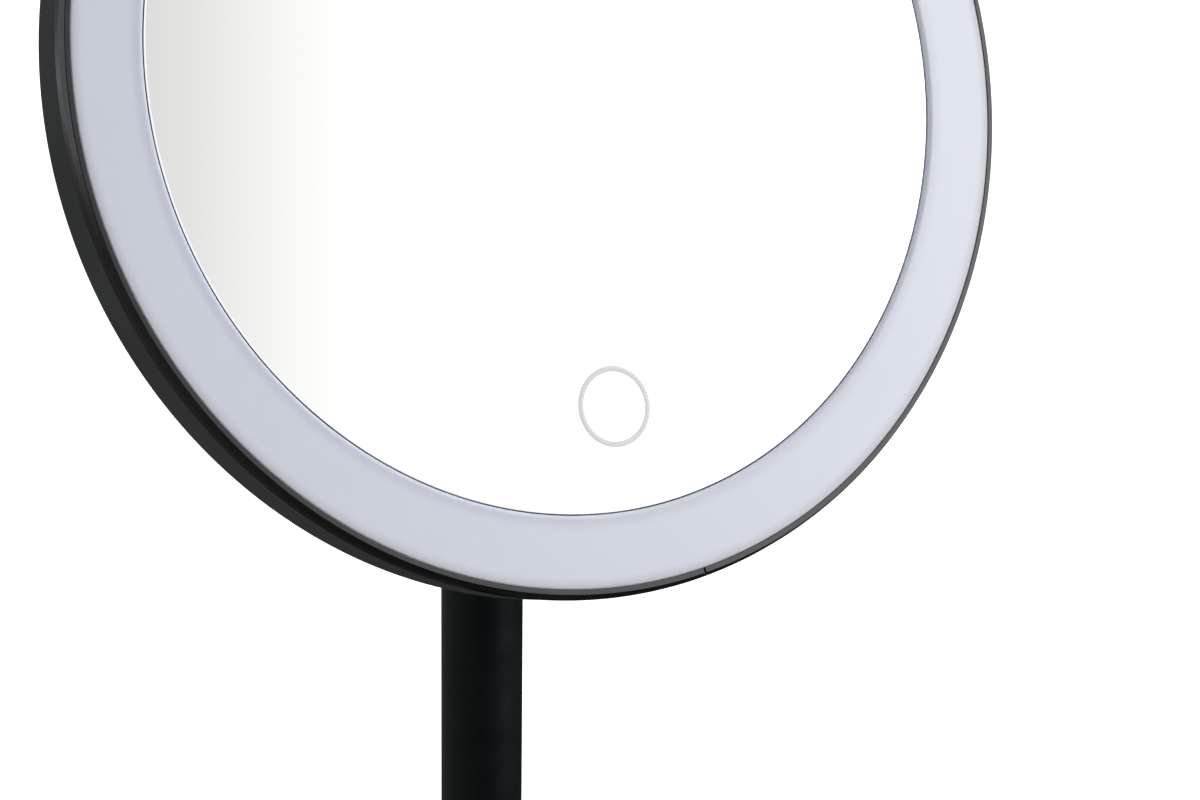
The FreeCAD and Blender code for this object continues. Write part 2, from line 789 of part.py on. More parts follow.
def make_housing_screws():
    """Countersunk screws through the rear housing into the tray's bosses."""
    body = on_head(new_body("housing_screws", compound=True), spin=size.socket_spin.value)
    back = case_back + size.screw_below_surface
    head = size.sink_radius - size.fit_gap
    neck = case_back + size.sink_depth
    tip = back + size.housing_screw_length
    screw = off_axis_turned(body, size.housing_screw_radius,
                            [(0, back), (head, back), (head, neck - size.cross_depth),
                             (size.pilot_radius, neck), (size.pilot_radius, tip), (0, tip)])
    slot = new_sketch(body, "XY_Plane", back)
    draw_rectangle(slot, size.cross_reach, size.cross_width, size.housing_screw_radius, ZERO)
    cross = pocketed(body, slot, size.cross_depth, reverse=True)
    bar = new_sketch(body, "XY_Plane", back)
    draw_rectangle(bar, size.cross_width, size.cross_reach, size.housing_screw_radius, ZERO)
    second = pocketed(body, bar, size.cross_depth, reverse=True)
    repeated(body, [screw, cross, second], size.housing_screw_count)


def make_stiffener_plate():
    """The steel disc inside the housing that spreads the bracket's load."""
    body = on_head(new_body("stiffener_plate"))
    disc = new_sketch(body, "XY_Plane", case_inside)
    draw_circle(disc, 0, 0, size.stiffener_radius)
    for x, y in screw_square(size.bracket_screw_circle):
        draw_circle(disc, x, y, size.bracket_hole_radius)
    padded(body, disc, size.stiffener_thickness)


def make_head_bracket():
    """The bracket on the back of the head: a round foot and the lug that turns on the tilt bolt."""
    body = on_head(new_body("head_bracket"))
    foot = turned(body, [(0, case_back), (size.bracket_radius, case_back),
                         (size.bracket_radius, bracket_back), (0, bracket_back)])
    dressed(body, foot, "Fillet", [(size.bracket_radius, bracket_back)], size.bracket_round)
    arm = new_sketch(body, "YZ_Plane")
    pivot = -size.pivot_to_front
    draw_rectangle(arm, size.lug_radius * 2, size.pivot_to_front - size.head_depth - 1, ZERO,
                   (pivot + case_back - 1) * 0.5)
    padded(body, arm, size.lug_width, midplane=True)
    eye = new_sketch(body, "YZ_Plane")
    draw_circle(eye, 0, pivot, size.lug_radius)
    padded(body, eye, size.lug_width, midplane=True)
    bore = new_sketch(body, "YZ_Plane")
    draw_circle(bore, 0, pivot, size.bolt_radius + size.running_gap)
    pocketed(body, bore, size.lug_width + 2, midplane=True)
    tapped = new_sketch(body, "XY_Plane", case_back)
    for x, y in screw_square(size.bracket_screw_circle):
        draw_circle(tapped, x, y, size.bracket_screw_radius)
    pocketed(body, tapped, size.bracket_screw_bite)


def make_bracket_screws():
    """Pan-head screws from inside the housing into the bracket."""
    body = on_head(new_body("bracket_screws", compound=True))
    seat = case_inside + size.stiffener_thickness
    heads = new_sketch(body, "XY_Plane", seat)
    shanks = new_sketch(body, "XY_Plane", seat)
    sockets = new_sketch(body, "XY_Plane", seat + size.pan_head_height)
    for x, y in screw_square(size.bracket_screw_circle):
        draw_circle(heads, x, y, size.pan_head_radius)
        draw_circle(shanks, x, y, size.bracket_screw_radius)
        draw_circle(sockets, x, y, size.pan_socket_radius)
    padded(body, heads, size.pan_head_height)
    padded(body, shanks, seat - case_back + size.bracket_screw_bite, reverse=True)
    pocketed(body, sockets, size.pan_socket_depth)


# ---------------------------------------------------------------- tilt hinge and swivel

cheek_inside = size.lug_width * 0.5 + size.washer_thickness + size.side_play
cheek_outside = cheek_inside + size.cheek_thickness
bridge_top = -size.fork_depth
bridge_foot = bridge_top - size.fork_bridge
bush_top = bridge_foot - size.side_play
tube_top = bush_top - size.bush_flange
stem_foot = bridge_foot - size.swivel_stem_length
bush_foot = stem_foot - 0.5


def make_swivel_yoke():
    """The fork that holds the head's lug, with the stem that turns in the column's bush."""
    body = on_pivot(new_body("swivel_yoke"))
    eye = new_sketch(body, "YZ_Plane")
    draw_circle(eye, 0, 0, size.cheek_radius)
    padded(body, eye, cheek_outside * 2, midplane=True)
    cheek = new_sketch(body, "YZ_Plane")
    draw_outline(cheek, [(-size.cheek_radius, 0), (size.cheek_radius, 0),
                         (size.cheek_radius * 0.72, bridge_foot), (-size.cheek_radius * 0.72, bridge_foot)])
    padded(body, cheek, cheek_outside * 2, midplane=True)
    gap = new_sketch(body, "XZ_Plane")
    gap_top = size.cheek_radius + 1
    draw_outline(gap, [(-cheek_inside, bridge_top), (cheek_inside, bridge_top),
                       (cheek_inside, gap_top), (-cheek_inside, gap_top)])
    pocketed(body, gap, size.cheek_radius * 3, midplane=True)
    bore = new_sketch(body, "YZ_Plane")
    draw_circle(bore, 0, 0, size.bolt_radius)
    pocketed(body, bore, cheek_outside * 3, midplane=True)
    stem, screw = size.swivel_stem_radius, size.swivel_screw_radius
    hole_top = stem_foot + size.swivel_screw_bite + 1
    turned(body, [(0, bridge_top), (size.fork_body_radius, bridge_top),
                  (size.fork_body_radius, bridge_foot), (stem, bridge_foot), (stem, stem_foot),
                  (screw, stem_foot), (screw, hole_top), (0, hole_top)])


def make_tilt_hardware():
    """The bolt through the fork, its nut, the two friction washers and the two caps."""
    bolt = on_pivot(new_body("tilt_bolt"), along_axle=True)
    shank = size.bolt_radius
    tip = -cheek_outside - size.nut_height - size.fit_gap
    head, head_top = size.bolt_head_radius, cheek_outside + size.bolt_head_height
    turned(bolt, [(0, tip), (shank, tip), (shank, cheek_outside), (head, cheek_outside),
                  (head, head_top), (0, head_top)])
    key = new_sketch(bolt, "XY_Plane", head_top)
    draw_hexagon(key, size.bolt_key_width)
    pocketed(bolt, key, size.bolt_key_depth)
    nut = on_pivot(new_body("tilt_nut"), along_axle=True)
    hexagon = new_sketch(nut, "XY_Plane", -cheek_outside)
    draw_hexagon(hexagon, size.nut_width)
    draw_circle(hexagon, 0, 0, shank)
    padded(nut, hexagon, size.nut_height, reverse=True)
    washers = on_pivot(new_body("friction_washers", compound=True), along_axle=True)
    near = size.lug_width * 0.5
    far = near + size.washer_thickness
    hole, edge = shank + size.running_gap, size.washer_radius
    ring = turned(washers, [(hole, near), (edge, near), (edge, far), (hole, far)])
    mirrored(washers, [ring], "XY_Plane")
    caps = on_pivot(new_body("axle_caps", compound=True), along_axle=True)
    rim, crown = size.cap_radius, cheek_outside + size.cap_height
    inner = rim - size.cap_wall
    cap = turned(caps, [(inner, cheek_outside), (rim, cheek_outside), (rim, crown - size.cap_slope),
                        (rim - size.cap_slope, crown), (0, crown), (0, crown - size.cap_wall),
                        (inner, crown - size.cap_wall)])
    mirrored(caps, [cap], "XY_Plane")


def draw_hexagon(sketch, across_flats):
    """A regular hexagon centred on the sketch's origin."""
    corner = across_flats * (1 / math.sqrt(3))
    angles = [math.radians(60 * step) for step in range(6)]
    draw_outline(sketch, [(corner * math.cos(angle), corner * math.sin(angle)) for angle in angles])


def make_swivel_hardware():
    """The flanged bush in the column's end, and the screw and washer that keep the stem in it."""
    bush = on_pivot(new_body("swivel_bush"))
    bore = size.swivel_stem_radius + size.running_gap
    tube_bore = size.inner_tube_radius - size.inner_tube_wall
    turned(bush, [(bore, bush_top), (size.bush_flange_radius, bush_top),
                  (size.bush_flange_radius, tube_top), (tube_bore, tube_top), (tube_bore, bush_foot),
                  (bore, bush_foot)])
    washer = on_pivot(new_body("swivel_washer"))
    washer_top = bush_foot - size.side_play
    washer_foot = washer_top - size.swivel_washer_thickness
    shank, edge = size.swivel_screw_radius, size.swivel_washer_radius
    hole = shank + size.fit_gap
    turned(washer, [(hole, washer_top), (edge, washer_top), (edge, washer_foot), (hole, washer_foot)])
    screw = on_pivot(new_body("swivel_screw"))
    shank_top = stem_foot + size.swivel_screw_bite
    head, head_foot = size.swivel_screw_head, washer_foot - size.swivel_screw_height
    turned(screw, [(0, shank_top), (shank, shank_top), (shank, washer_foot), (head, washer_foot),
                   (head, head_foot), (0, head_foot)])


# ---------------------------------------------------------------- column and twist lock

def make_inner_tube():
    """The slim upper tube, and the glide in its lower end that runs in the outer tube."""
    tube = on_pivot(new_body("inner_tube"))
    bore = size.inner_tube_radius - size.inner_tube_wall
    foot = tube_top - size.inner_tube_length
    turned(tube, [(bore, tube_top), (size.inner_tube_radius, tube_top),
                  (size.inner_tube_radius, foot), (bore, foot)])
    glide = on_pivot(new_body("column_glide"))
    guide = size.outer_tube_radius - size.outer_tube_wall - size.running_gap
    top, low = foot + size.glide_grip, foot - size.glide_length
    turned(glide, [(size.glide_bore_radius, top), (bore, top), (bore, foot), (guide, foot),
                   (guide, low), (size.glide_bore_radius, low)])


def make_outer_tube():
    body = new_body("outer_tube")
    bore = size.outer_tube_radius - size.outer_tube_wall
    foot = size.base_height - size.base_wall
    turned(body, [(bore, foot), (size.outer_tube_radius, foot),
                  (size.outer_tube_radius, size.outer_tube_top), (bore, size.outer_tube_top)])


def make_split_collet():
    """The nylon collet in the outer tube's mouth, slit so that the collar can squeeze it."""
    body = new_body("split_collet")
    bore = size.inner_tube_radius + size.running_gap
    tube_bore = size.outer_tube_radius - size.outer_tube_wall
    top = size.outer_tube_top
    shoulder = top + size.collet_flange
    tip = shoulder + size.collet_finger
    turned(body, [(bore, top - size.collet_depth), (tube_bore, top - size.collet_depth),
                  (tube_bore, top), (size.outer_tube_radius, top), (size.outer_tube_radius, shoulder),
                  (size.outer_tube_radius - size.collet_taper, tip), (bore, tip)])
    slit = new_sketch(body, "XZ_Plane")
    draw_rectangle(slit, size.collet_slit, size.collet_finger, ZERO, (shoulder + tip) * 0.5)
    cut = pocketed(body, slit, size.outer_tube_radius * 2.4, midplane=True)
    repeated(body, [cut], size.collet_slits)


def make_lock_collar():
    """The fluted collar that turns on the outer tube's end to lock the column's height."""
    body = new_body("lock_collar")
    bore = size.outer_tube_radius + size.running_gap
    low = size.outer_tube_top - size.collar_skirt
    tip = size.outer_tube_top + size.collet_flange + size.collet_finger + size.collar_play
    top = tip + size.collar_roof
    outer = size.collar_radius
    mouth = size.inner_tube_radius + size.collar_play
    shell = turned(body, [(bore, low), (outer, low), (outer, top), (mouth, top), (mouth, tip), (bore, tip)])
    softened = dressed(body, shell, "Fillet", [(outer, top)], size.collar_top_round)
    dressed(body, softened, "Fillet", [(outer, low)], size.collar_foot_round)
    flute_foot, flute_top = low + size.flute_above_foot, top - size.flute_below_top
    flute = new_sketch(body, "XY_Plane", flute_foot)
    draw_circle(flute, outer + size.flute_offset, 0, size.flute_radius)
    groove = pocketed(body, flute, flute_top - flute_foot, reverse=True)
    repeated(body, [groove], size.collar_flutes)


# ---------------------------------------------------------------- base

weight_low = size.pad_thickness + size.plate_thickness
weight_top = size.base_height - size.base_wall - size.fit_gap
recess_roof = weight_top - size.bolt_recess_depth
stud_hole = size.stud_radius + size.fit_gap * 2


def make_base_cover():
    """The round painted cover over the weight, with a rounded shoulder."""
    body = new_body("base_cover")
    hole = size.outer_tube_radius + size.running_gap
    under = size.base_height - size.base_wall
    inner = size.base_radius - size.base_wall
    low = size.pad_thickness - size.cover_overlap
    shell = turned(body, [(hole, under), (hole, size.base_height), (size.base_radius, size.base_height),
                          (size.base_radius, low), (inner, low), (inner, under)])
    dressed(body, shell, "Fillet", [(size.base_radius, size.base_height)], size.base_round)
    dressed(body, body.Tip, "Fillet", [(size.base_radius, low)], size.base_foot_round)


def make_base_weight():
    """The cast disc, with the bolt's recess and four screw holes in its underside."""
    body = new_body("base_weight")
    recess = size.bolt_recess_radius
    turned(body, [(stud_hole, recess_roof), (stud_hole, weight_top),
                  (size.weight_radius, weight_top), (size.weight_radius, weight_low),
                  (recess, weight_low), (recess, recess_roof)])
    holes = new_sketch(body, "XY_Plane", weight_low)
    for x, y in screw_square(size.plate_screw_circle):
        draw_circle(holes, x, y, size.plate_screw_radius)
    pocketed(body, holes, size.plate_screw_bite + size.fit_gap, reverse=True)


def make_base_plate():
    """The flat plate that closes the base from below."""
    body = new_body("base_plate")
    disc = new_sketch(body, "XY_Plane", size.pad_thickness)
    draw_circle(disc, 0, 0, size.base_radius - size.base_wall - size.fit_gap * 2)
    for x, y in screw_square(size.plate_screw_circle):
        draw_circle(disc, x, y, size.plate_hole_radius)
    padded(body, disc, size.plate_thickness)


def make_base_plate_screws():
    """Screws through the plate into the weight, their heads just inside the plate's holes."""
    body = new_body("base_plate_screws", compound=True)
    heads = new_sketch(body, "XY_Plane", size.pad_thickness + size.screw_below_surface)
    shanks = new_sketch(body, "XY_Plane", weight_low)
    for x, y in screw_square(size.plate_screw_circle):
        draw_circle(heads, x, y, size.plate_screw_head)
        draw_circle(shanks, x, y, size.plate_screw_radius)
    padded(body, heads, size.plate_thickness - size.screw_below_surface)
    padded(body, shanks, size.plate_screw_bite)


def make_foot_pad():
    """The soft disc that the mirror stands on."""
    body = new_body("foot_pad")
    disc = turned(body, [(0, 0), (size.pad_radius, 0), (size.pad_radius, size.pad_thickness),
                         (0, size.pad_thickness)])
    dressed(body, disc, "Fillet", [(size.pad_radius, ZERO)], size.pad_round)


def make_column_foot():
    """The plug in the outer tube's foot, the bolt and washer under it, and the trim flange."""
    tube_foot = size.base_height - size.base_wall
    tube_bore = size.outer_tube_radius - size.outer_tube_wall
    plug_top = tube_foot + size.foot_plug_length
    stud = size.stud_radius
    plug = new_body("foot_plug")
    turned(plug, [(stud, tube_foot), (tube_bore, tube_foot), (tube_bore, plug_top), (stud, plug_top)])
    washer = new_body("base_washer")
    washer_low = recess_roof - size.base_washer_thickness
    edge = size.base_washer_radius
    turned(washer, [(stud_hole, washer_low), (edge, washer_low), (edge, recess_roof),
                    (stud_hole, recess_roof)])
    bolt = new_body("base_bolt")
    head, head_low = size.stud_head_radius, weight_low + size.fit_gap * 2
    bolt_top = plug_top - size.stud_radius * 2
    turned(bolt, [(0, head_low), (head, head_low), (head, washer_low), (stud, washer_low),
                  (stud, bolt_top), (0, bolt_top)])
    key = new_sketch(bolt, "XY_Plane", head_low)
    draw_hexagon(key, size.stud_key_width)
    pocketed(bolt, key, size.stud_key_depth, reverse=True)
    flange = new_body("column_flange")
    bore = size.outer_tube_radius + size.running_gap
    top = size.base_height + size.flange_height
    ring = turned(flange, [(bore, size.base_height), (size.flange_radius, size.base_height),
                           (size.flange_radius, top), (bore, top)])
    dressed(flange, ring, "Fillet", [(size.flange_radius, top)], size.flange_round)


# ---------------------------------------------------------------- build and write

def build():
    for make in (make_front_bezel, make_rear_housing, make_diffuser_ring, make_mirror_glass,
                 make_touch_ring, make_mirror_tape, make_reflector_tray, make_led_ring_board,
                 make_leds, make_touch_electrode, make_control_board, make_board_screws,
                 make_board_parts, make_battery, make_charging_socket, make_all_leads,
                 make_housing_screws, make_stiffener_plate, make_head_bracket, make_bracket_screws,
                 make_swivel_yoke, make_tilt_hardware, make_swivel_hardware, make_inner_tube,
                 make_outer_tube, make_split_collet, make_lock_collar, make_base_cover,
                 make_base_weight, make_base_plate, make_base_plate_screws, make_foot_pad,
                 make_column_foot):
        make()


def check():
    """Stops if any object failed or any sub-part has a bad shape."""
    document.recompute()
    for item in document.Objects:
        if "Invalid" in item.State or "Error" in item.State:
            raise RuntimeError(f"{item.Label} failed: {item.State}")
    for subpart in subparts:
        if subpart.Shape.isNull() or not subpart.Shape.isValid():
            raise RuntimeError(f"{subpart.Label} has no valid shape")


def write():
    os.makedirs("parts", exist_ok=True)
    for subpart in subparts:
        subpart.Shape.exportStep(f"parts/{subpart.Label}.step")
        solids = len(subpart.Shape.Solids)
        print(f"{subpart.Label}: {solids} solid(s), {subpart.Shape.Volume / 1000:.2f} cm3")


fill_sheet()
build()
check()
write()
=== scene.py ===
"""Looks of the extendable shaving mirror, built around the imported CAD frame.

The scene is in metres, +Z up, and the mirror faces -Y. Sizes of pieces are in millimetres."""
import json
import math

import bmesh
import bpy
from mathutils import Matrix, Vector

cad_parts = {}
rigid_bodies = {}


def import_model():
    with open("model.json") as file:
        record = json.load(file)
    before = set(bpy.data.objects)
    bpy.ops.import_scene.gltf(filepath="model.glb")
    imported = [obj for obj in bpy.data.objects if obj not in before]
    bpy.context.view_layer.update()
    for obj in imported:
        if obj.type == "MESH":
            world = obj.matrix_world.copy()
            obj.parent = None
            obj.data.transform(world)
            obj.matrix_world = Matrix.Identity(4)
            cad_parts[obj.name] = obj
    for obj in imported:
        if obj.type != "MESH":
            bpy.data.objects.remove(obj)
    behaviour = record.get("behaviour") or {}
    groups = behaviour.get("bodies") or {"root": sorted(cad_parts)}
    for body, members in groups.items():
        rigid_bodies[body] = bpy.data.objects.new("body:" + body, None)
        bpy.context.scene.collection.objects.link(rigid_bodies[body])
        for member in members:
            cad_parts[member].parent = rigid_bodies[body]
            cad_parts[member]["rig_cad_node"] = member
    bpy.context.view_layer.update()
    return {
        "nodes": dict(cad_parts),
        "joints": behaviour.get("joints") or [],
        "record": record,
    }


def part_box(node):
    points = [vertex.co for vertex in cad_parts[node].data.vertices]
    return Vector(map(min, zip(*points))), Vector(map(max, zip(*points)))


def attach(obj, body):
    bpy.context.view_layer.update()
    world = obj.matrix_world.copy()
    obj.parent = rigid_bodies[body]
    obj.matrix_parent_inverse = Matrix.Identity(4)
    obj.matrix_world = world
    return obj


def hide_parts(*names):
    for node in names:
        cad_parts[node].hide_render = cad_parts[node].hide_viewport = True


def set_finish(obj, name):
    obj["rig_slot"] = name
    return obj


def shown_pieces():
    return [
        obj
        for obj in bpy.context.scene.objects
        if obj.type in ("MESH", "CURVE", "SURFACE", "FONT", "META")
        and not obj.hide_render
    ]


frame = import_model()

MM = 0.001
TURNS = 256                 # segments round a large ring
SMALL_TURNS = 96            # segments round a tube or a small turned piece
ARC_STEPS = 6               # segments in a rounded corner

joints = {joint["name"]: joint for joint in frame["joints"]}
slots = {sub["node"]: sub["material_slot"] for sub in frame["record"]["subparts"]}
bodies = {node: body for body, nodes in frame["record"]["behaviour"]["bodies"].items() for node in nodes}

# The head's own frame: local +Z out of the glass, local +Y to 12 o'clock, level 0 at the bezel's front.
HEAD_TILT = math.radians(21.83)
PIVOT_TO_FRONT = 31.83 * MM
pivot = Vector(joints["head_tilt"]["pos_m"])
facing = Vector((0, -math.cos(HEAD_TILT), math.sin(HEAD_TILT)))
face_centre = pivot + facing * PIVOT_TO_FRONT
to_head = Matrix.Translation(face_centre) @ Matrix.Rotation(math.pi / 2 - HEAD_TILT, 4, "X")
SOCKET_SPIN = math.radians(30)
to_spun_head = to_head @ Matrix.Rotation(SOCKET_SPIN, 4, "Z")
to_axle = Matrix.Translation(pivot) @ Matrix.Rotation(math.pi / 2, 4, "Y")
SOCKET_LEVEL = -10.3
socket_place = Matrix.Translation((0, 0, SOCKET_LEVEL * MM))
to_socket = to_spun_head @ socket_place @ Matrix.Rotation(math.pi / 2, 4, "X")

# The bezel, and the housing behind it, whose wall laps over the bezel's skirt. Levels are along local Z.
HEAD_RADIUS = 100.0
HEAD_BACK = -13.8
OPENING_RADIUS = 98.03
LIP_RADIUS = 99.08          # where the flat lip turns into the bezel's slanted side
BEZEL_BACK = -2.85
BUTT_JOINT_TURN = math.radians(187.1)
BUTT_JOINT_HALF_WIDTH = 0.22
BUTT_JOINT_DEPTH = 0.4
HOUSING_FRONT = -3.0
HOUSING_FLOOR = -12.0
LAP_RADIUS = 98.9
LAP_BACK = -5.4
LAP_GAP = 0.15
HOUSING_SCREWS = 6
HOUSING_SCREW_RADIUS = 90.5
SCREW_MOUTH_RADIUS = 2.9
SCREW_SINK_RADIUS = 2.45
SCREW_HOLE_RADIUS = 1.35

# The diffuser, the glass and the touch mark
DIFFUSER_OUTER = 98.0
DIFFUSER_INNER = 84.1
DIFFUSER_INNER_ROUND = 0.85
DIFFUSER_OUTER_ROUND = 0.3
DIFFUSER_PLATE = -2.2       # the underside of its face
DIFFUSER_SKIRT = -5.5       # the foot of its two walls
OPAL_OUTER_SHADE_BAND = 2.4       # how far in from its outer and inner edges the painted shade reaches
OPAL_INNER_SHADE_BAND = 3.4
GLASS_RADIUS = 83.85
GLASS_LEVEL = -0.75
GLASS_BACK = -3.9
GLASS_BEVEL = 0.4
BEVEL_BLUR = 0.03
BEVEL_PAINTED_GLOW = 0.5            # painted glow on the ground bevel, which shines though no lamp lights it
SEAL_NARROW = (0.05, 0.01)  # where the dark seal fades in, inwards from the glass's edge
DARK_BAND_LEFT = (0.18, 0.13)    # where a dark band, wider than the seal, fades in on the left
DARK_BAND_LEFT_TO = -0.7         # the dark band is at its widest left of this part of the radius
GLASS_TURN = math.radians(-0.5)     # the glass is glued in a hair off square
TOUCH_CENTRE = -64.1
TOUCH_OUTER = 7.75
TOUCH_INNER = 6.68
TOUCH_PROUD = 0.02

# The charging socket, in the housing's wall: widths and heights, and distances out from the head's middle
SOCKET_SLOT = (9.5, 3.8)
SOCKET_OUTSIDE = (8.94, 3.26)
SOCKET_INSIDE = (8.34, 2.56)
SOCKET_MOUTH = 99.0
SOCKET_LENGTH = 7.3
CONTACTS = 12
CONTACT_PITCH = 0.5

# Column, collar and base
OUTER_TUBE_RADIUS = 8.4
OUTER_TUBE_WALL = 1.2
INNER_TUBE_RADIUS = 6.5
INNER_TUBE_WALL = 1.0
TUBE_HOLE = 8.45            # what the outer tube passes through
COLLAR_RADIUS = 10.6
COLLAR_MOUTH = 7.0          # the collar's hole for the inner tube
FLUTES = 24
FLUTE_DEPTH = 0.5
FLUTE_FADE = 1.2
BASE_RADIUS = 75.0
BASE_WALL = 1.5
BASE_SHOULDER = 2.6
FLANGE_RADIUS = 13.0
FLANGE_NECK = 9.6
PAD_RADIUS = 71.0
CAP_RADIUS = 6.2
CAP_FROM = 9.0              # the axle caps start here, along the axle from its middle
CAP_LENGTH = 5.0
CAP_CROWN = 1.6


# ---------------------------------------------------------------- mesh helpers

def link(name, mesh):
    """A new object for the mesh, in the scene."""
    piece = bpy.data.objects.new(name, mesh)
    bpy.context.scene.collection.objects.link(piece)
    return piece


def to_data(name, mesh):
    """Turns a bmesh into mesh data and frees it."""
    data = bpy.data.meshes.new(name)
    mesh.to_mesh(data)
    mesh.free()
    return data


def finish_mesh(piece, sharp=35):
    """Smooth shading, edges sharper than that many degrees kept, and normals that follow large faces."""
    mesh = piece.data
    mesh.shade_smooth()
    mesh.set_sharp_from_angle(angle=math.radians(sharp))
    weighted = piece.modifiers.new("normals", "WEIGHTED_NORMAL")
    weighted.keep_sharp = True
    return piece


def stand_for(piece, node):
    """The piece rides on the CAD node's body, takes its slot and hides it."""
    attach(piece, bodies[node])
    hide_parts(node)
    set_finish(piece, slots[node])
    return piece


def rounded(corners, steps=ARC_STEPS):
    """A closed outline from (radius, level) or (radius, level, rounding) corners, with tangent arcs."""
    points = []
    count = len(corners)
    for index, corner in enumerate(corners):
        here = Vector(corner[:2])
        if len(corner) < 3:
            points.append(here)
            continue
        before = (Vector(corners[index - 1][:2]) - here).normalized()
        after = (Vector(corners[(index + 1) % count][:2]) - here).normalized()
        half = before.angle(after) / 2
        reach = corner[2] / math.tan(half)
        centre = here + (before + after).normalized() * corner[2] / math.sin(half)
        start, end = here + before * reach - centre, here + after * reach - centre
        sweep = start.angle_signed(end)
        for step in range(steps + 1):
            turn = Matrix.Rotation(-sweep * step / steps, 2)
            points.append(centre + turn @ start)
    return points


def quarter(centre, reach, start, end, steps=12):
    """Points on an ellipse about centre, from one angle to another, in degrees."""
    angles = [math.radians(start + (end - start) * step / steps) for step in range(steps + 1)]
    return [(centre[0] + reach[0] * math.cos(a), centre[1] + reach[1] * math.sin(a)) for a in angles]


def lathe(name, outline, place=None, turns=TURNS, shape=None):
    """A closed surface of revolution about Z from an outline in millimetres.

    shape(angle, radius, level), when given, returns the radius to use there, for flutes."""
    mesh = bmesh.new()
    rings = []
    for radius, level in outline:
        if radius < 1e-6:
            rings.append([mesh.verts.new((0, 0, level * MM))])
            continue
        ring = []
        for step in range(turns):
            angle = 2 * math.pi * step / turns
            out = shape(angle, radius, level) if shape else radius
            spot = (out * math.cos(angle) * MM, out * math.sin(angle) * MM, level * MM)
            ring.append(mesh.verts.new(spot))
        rings.append(ring)
    for ring, following in zip(rings, rings[1:] + rings[:1]):
        if len(ring) == 1 and len(following) == 1:
            continue
        for step in range(turns):
            after = (step + 1) % turns
            corners = [ring[step % len(ring)], ring[after % len(ring)],
                       following[after % len(following)], following[step % len(following)]]
            mesh.faces.new(list(dict.fromkeys(corners)))
    bmesh.ops.recalc_face_normals(mesh, faces=mesh.faces)
    data = to_data(name, mesh)
    if place is not None:
        data.transform(place)
    return finish_mesh(link(name, data))


def extruded(name, outline, low, high, place):
    """A prism from a closed outline in the XY plane, between two levels, in millimetres."""
    mesh = bmesh.new()
    bottom = [mesh.verts.new((x * MM, y * MM, low * MM)) for x, y in outline]
    top = [mesh.verts.new((x * MM, y * MM, high * MM)) for x, y in outline]
    mesh.faces.new(bottom)
    mesh.faces.new(top)
    for index in range(len(outline)):
        after = (index + 1) % len(outline)
        mesh.faces.new((bottom[index], bottom[after], top[after], top[index]))
    bmesh.ops.recalc_face_normals(mesh, faces=mesh.faces)
    data = to_data(name, mesh)
    data.transform(place)
    return link(name, data)


def carve(piece, cutters):
    """Cuts closed pieces out of a piece and removes them."""
    for cutter in cutters:
        cut = piece.modifiers.new("cut", "BOOLEAN")
        cut.object = cutter
        cut.operation = "DIFFERENCE"
        cut.solver = "EXACT"
    piece.modifiers.remove(piece.modifiers["normals"])
    bpy.context.view_layer.update()
    evaluated = piece.evaluated_get(bpy.context.evaluated_depsgraph_get())
    piece.data = bpy.data.meshes.new_from_object(evaluated)
    piece.modifiers.clear()
    for cutter in cutters:
        bpy.data.objects.remove(cutter)
    return finish_mesh(piece, sharp=30)


def joined(name, parts):
    """One piece from several, each kept as a closed shell."""
    mesh = bmesh.new()
    for part in parts:
        mesh.from_mesh(part.data)
    data = to_data(name, mesh)
    for part in parts:
        bpy.data.objects.remove(part)
    return finish_mesh(link(name, data))


def softened(node, width):
    """A copy of a CAD node with its flat faces merged and its edges rounded by width in millimetres."""
    mesh = bmesh.new()
    mesh.from_mesh(frame["nodes"][node].data)
    bmesh.ops.remove_doubles(mesh, verts=mesh.verts, dist=1e-6)
    bmesh.ops.dissolve_limit(mesh, angle_limit=math.radians(0.6), verts=mesh.verts, edges=mesh.edges)
    piece = link(f"{node}.fine", to_data(f"{node}.fine", mesh))
    bevel = piece.modifiers.new("rounding", "BEVEL")
    bevel.width = width * MM
    bevel.segments = 3
    bevel.limit_method = "ANGLE"
    bevel.angle_limit = math.radians(28)
    finish_mesh(piece)
    return stand_for(piece, node)


def stadium(width, height, steps=12):
    """A slot's outline, round at both ends."""
    radius, reach = height / 2, (width - height) / 2
    outline = []
    for side, start in ((1, -90), (-1, 90)):
        for step in range(steps + 1):
            angle = math.radians(start + 180 * step / steps)
            outline.append((side * reach + radius * math.cos(angle), radius * math.sin(angle)))
    return outline


# ---------------------------------------------------------------- materials

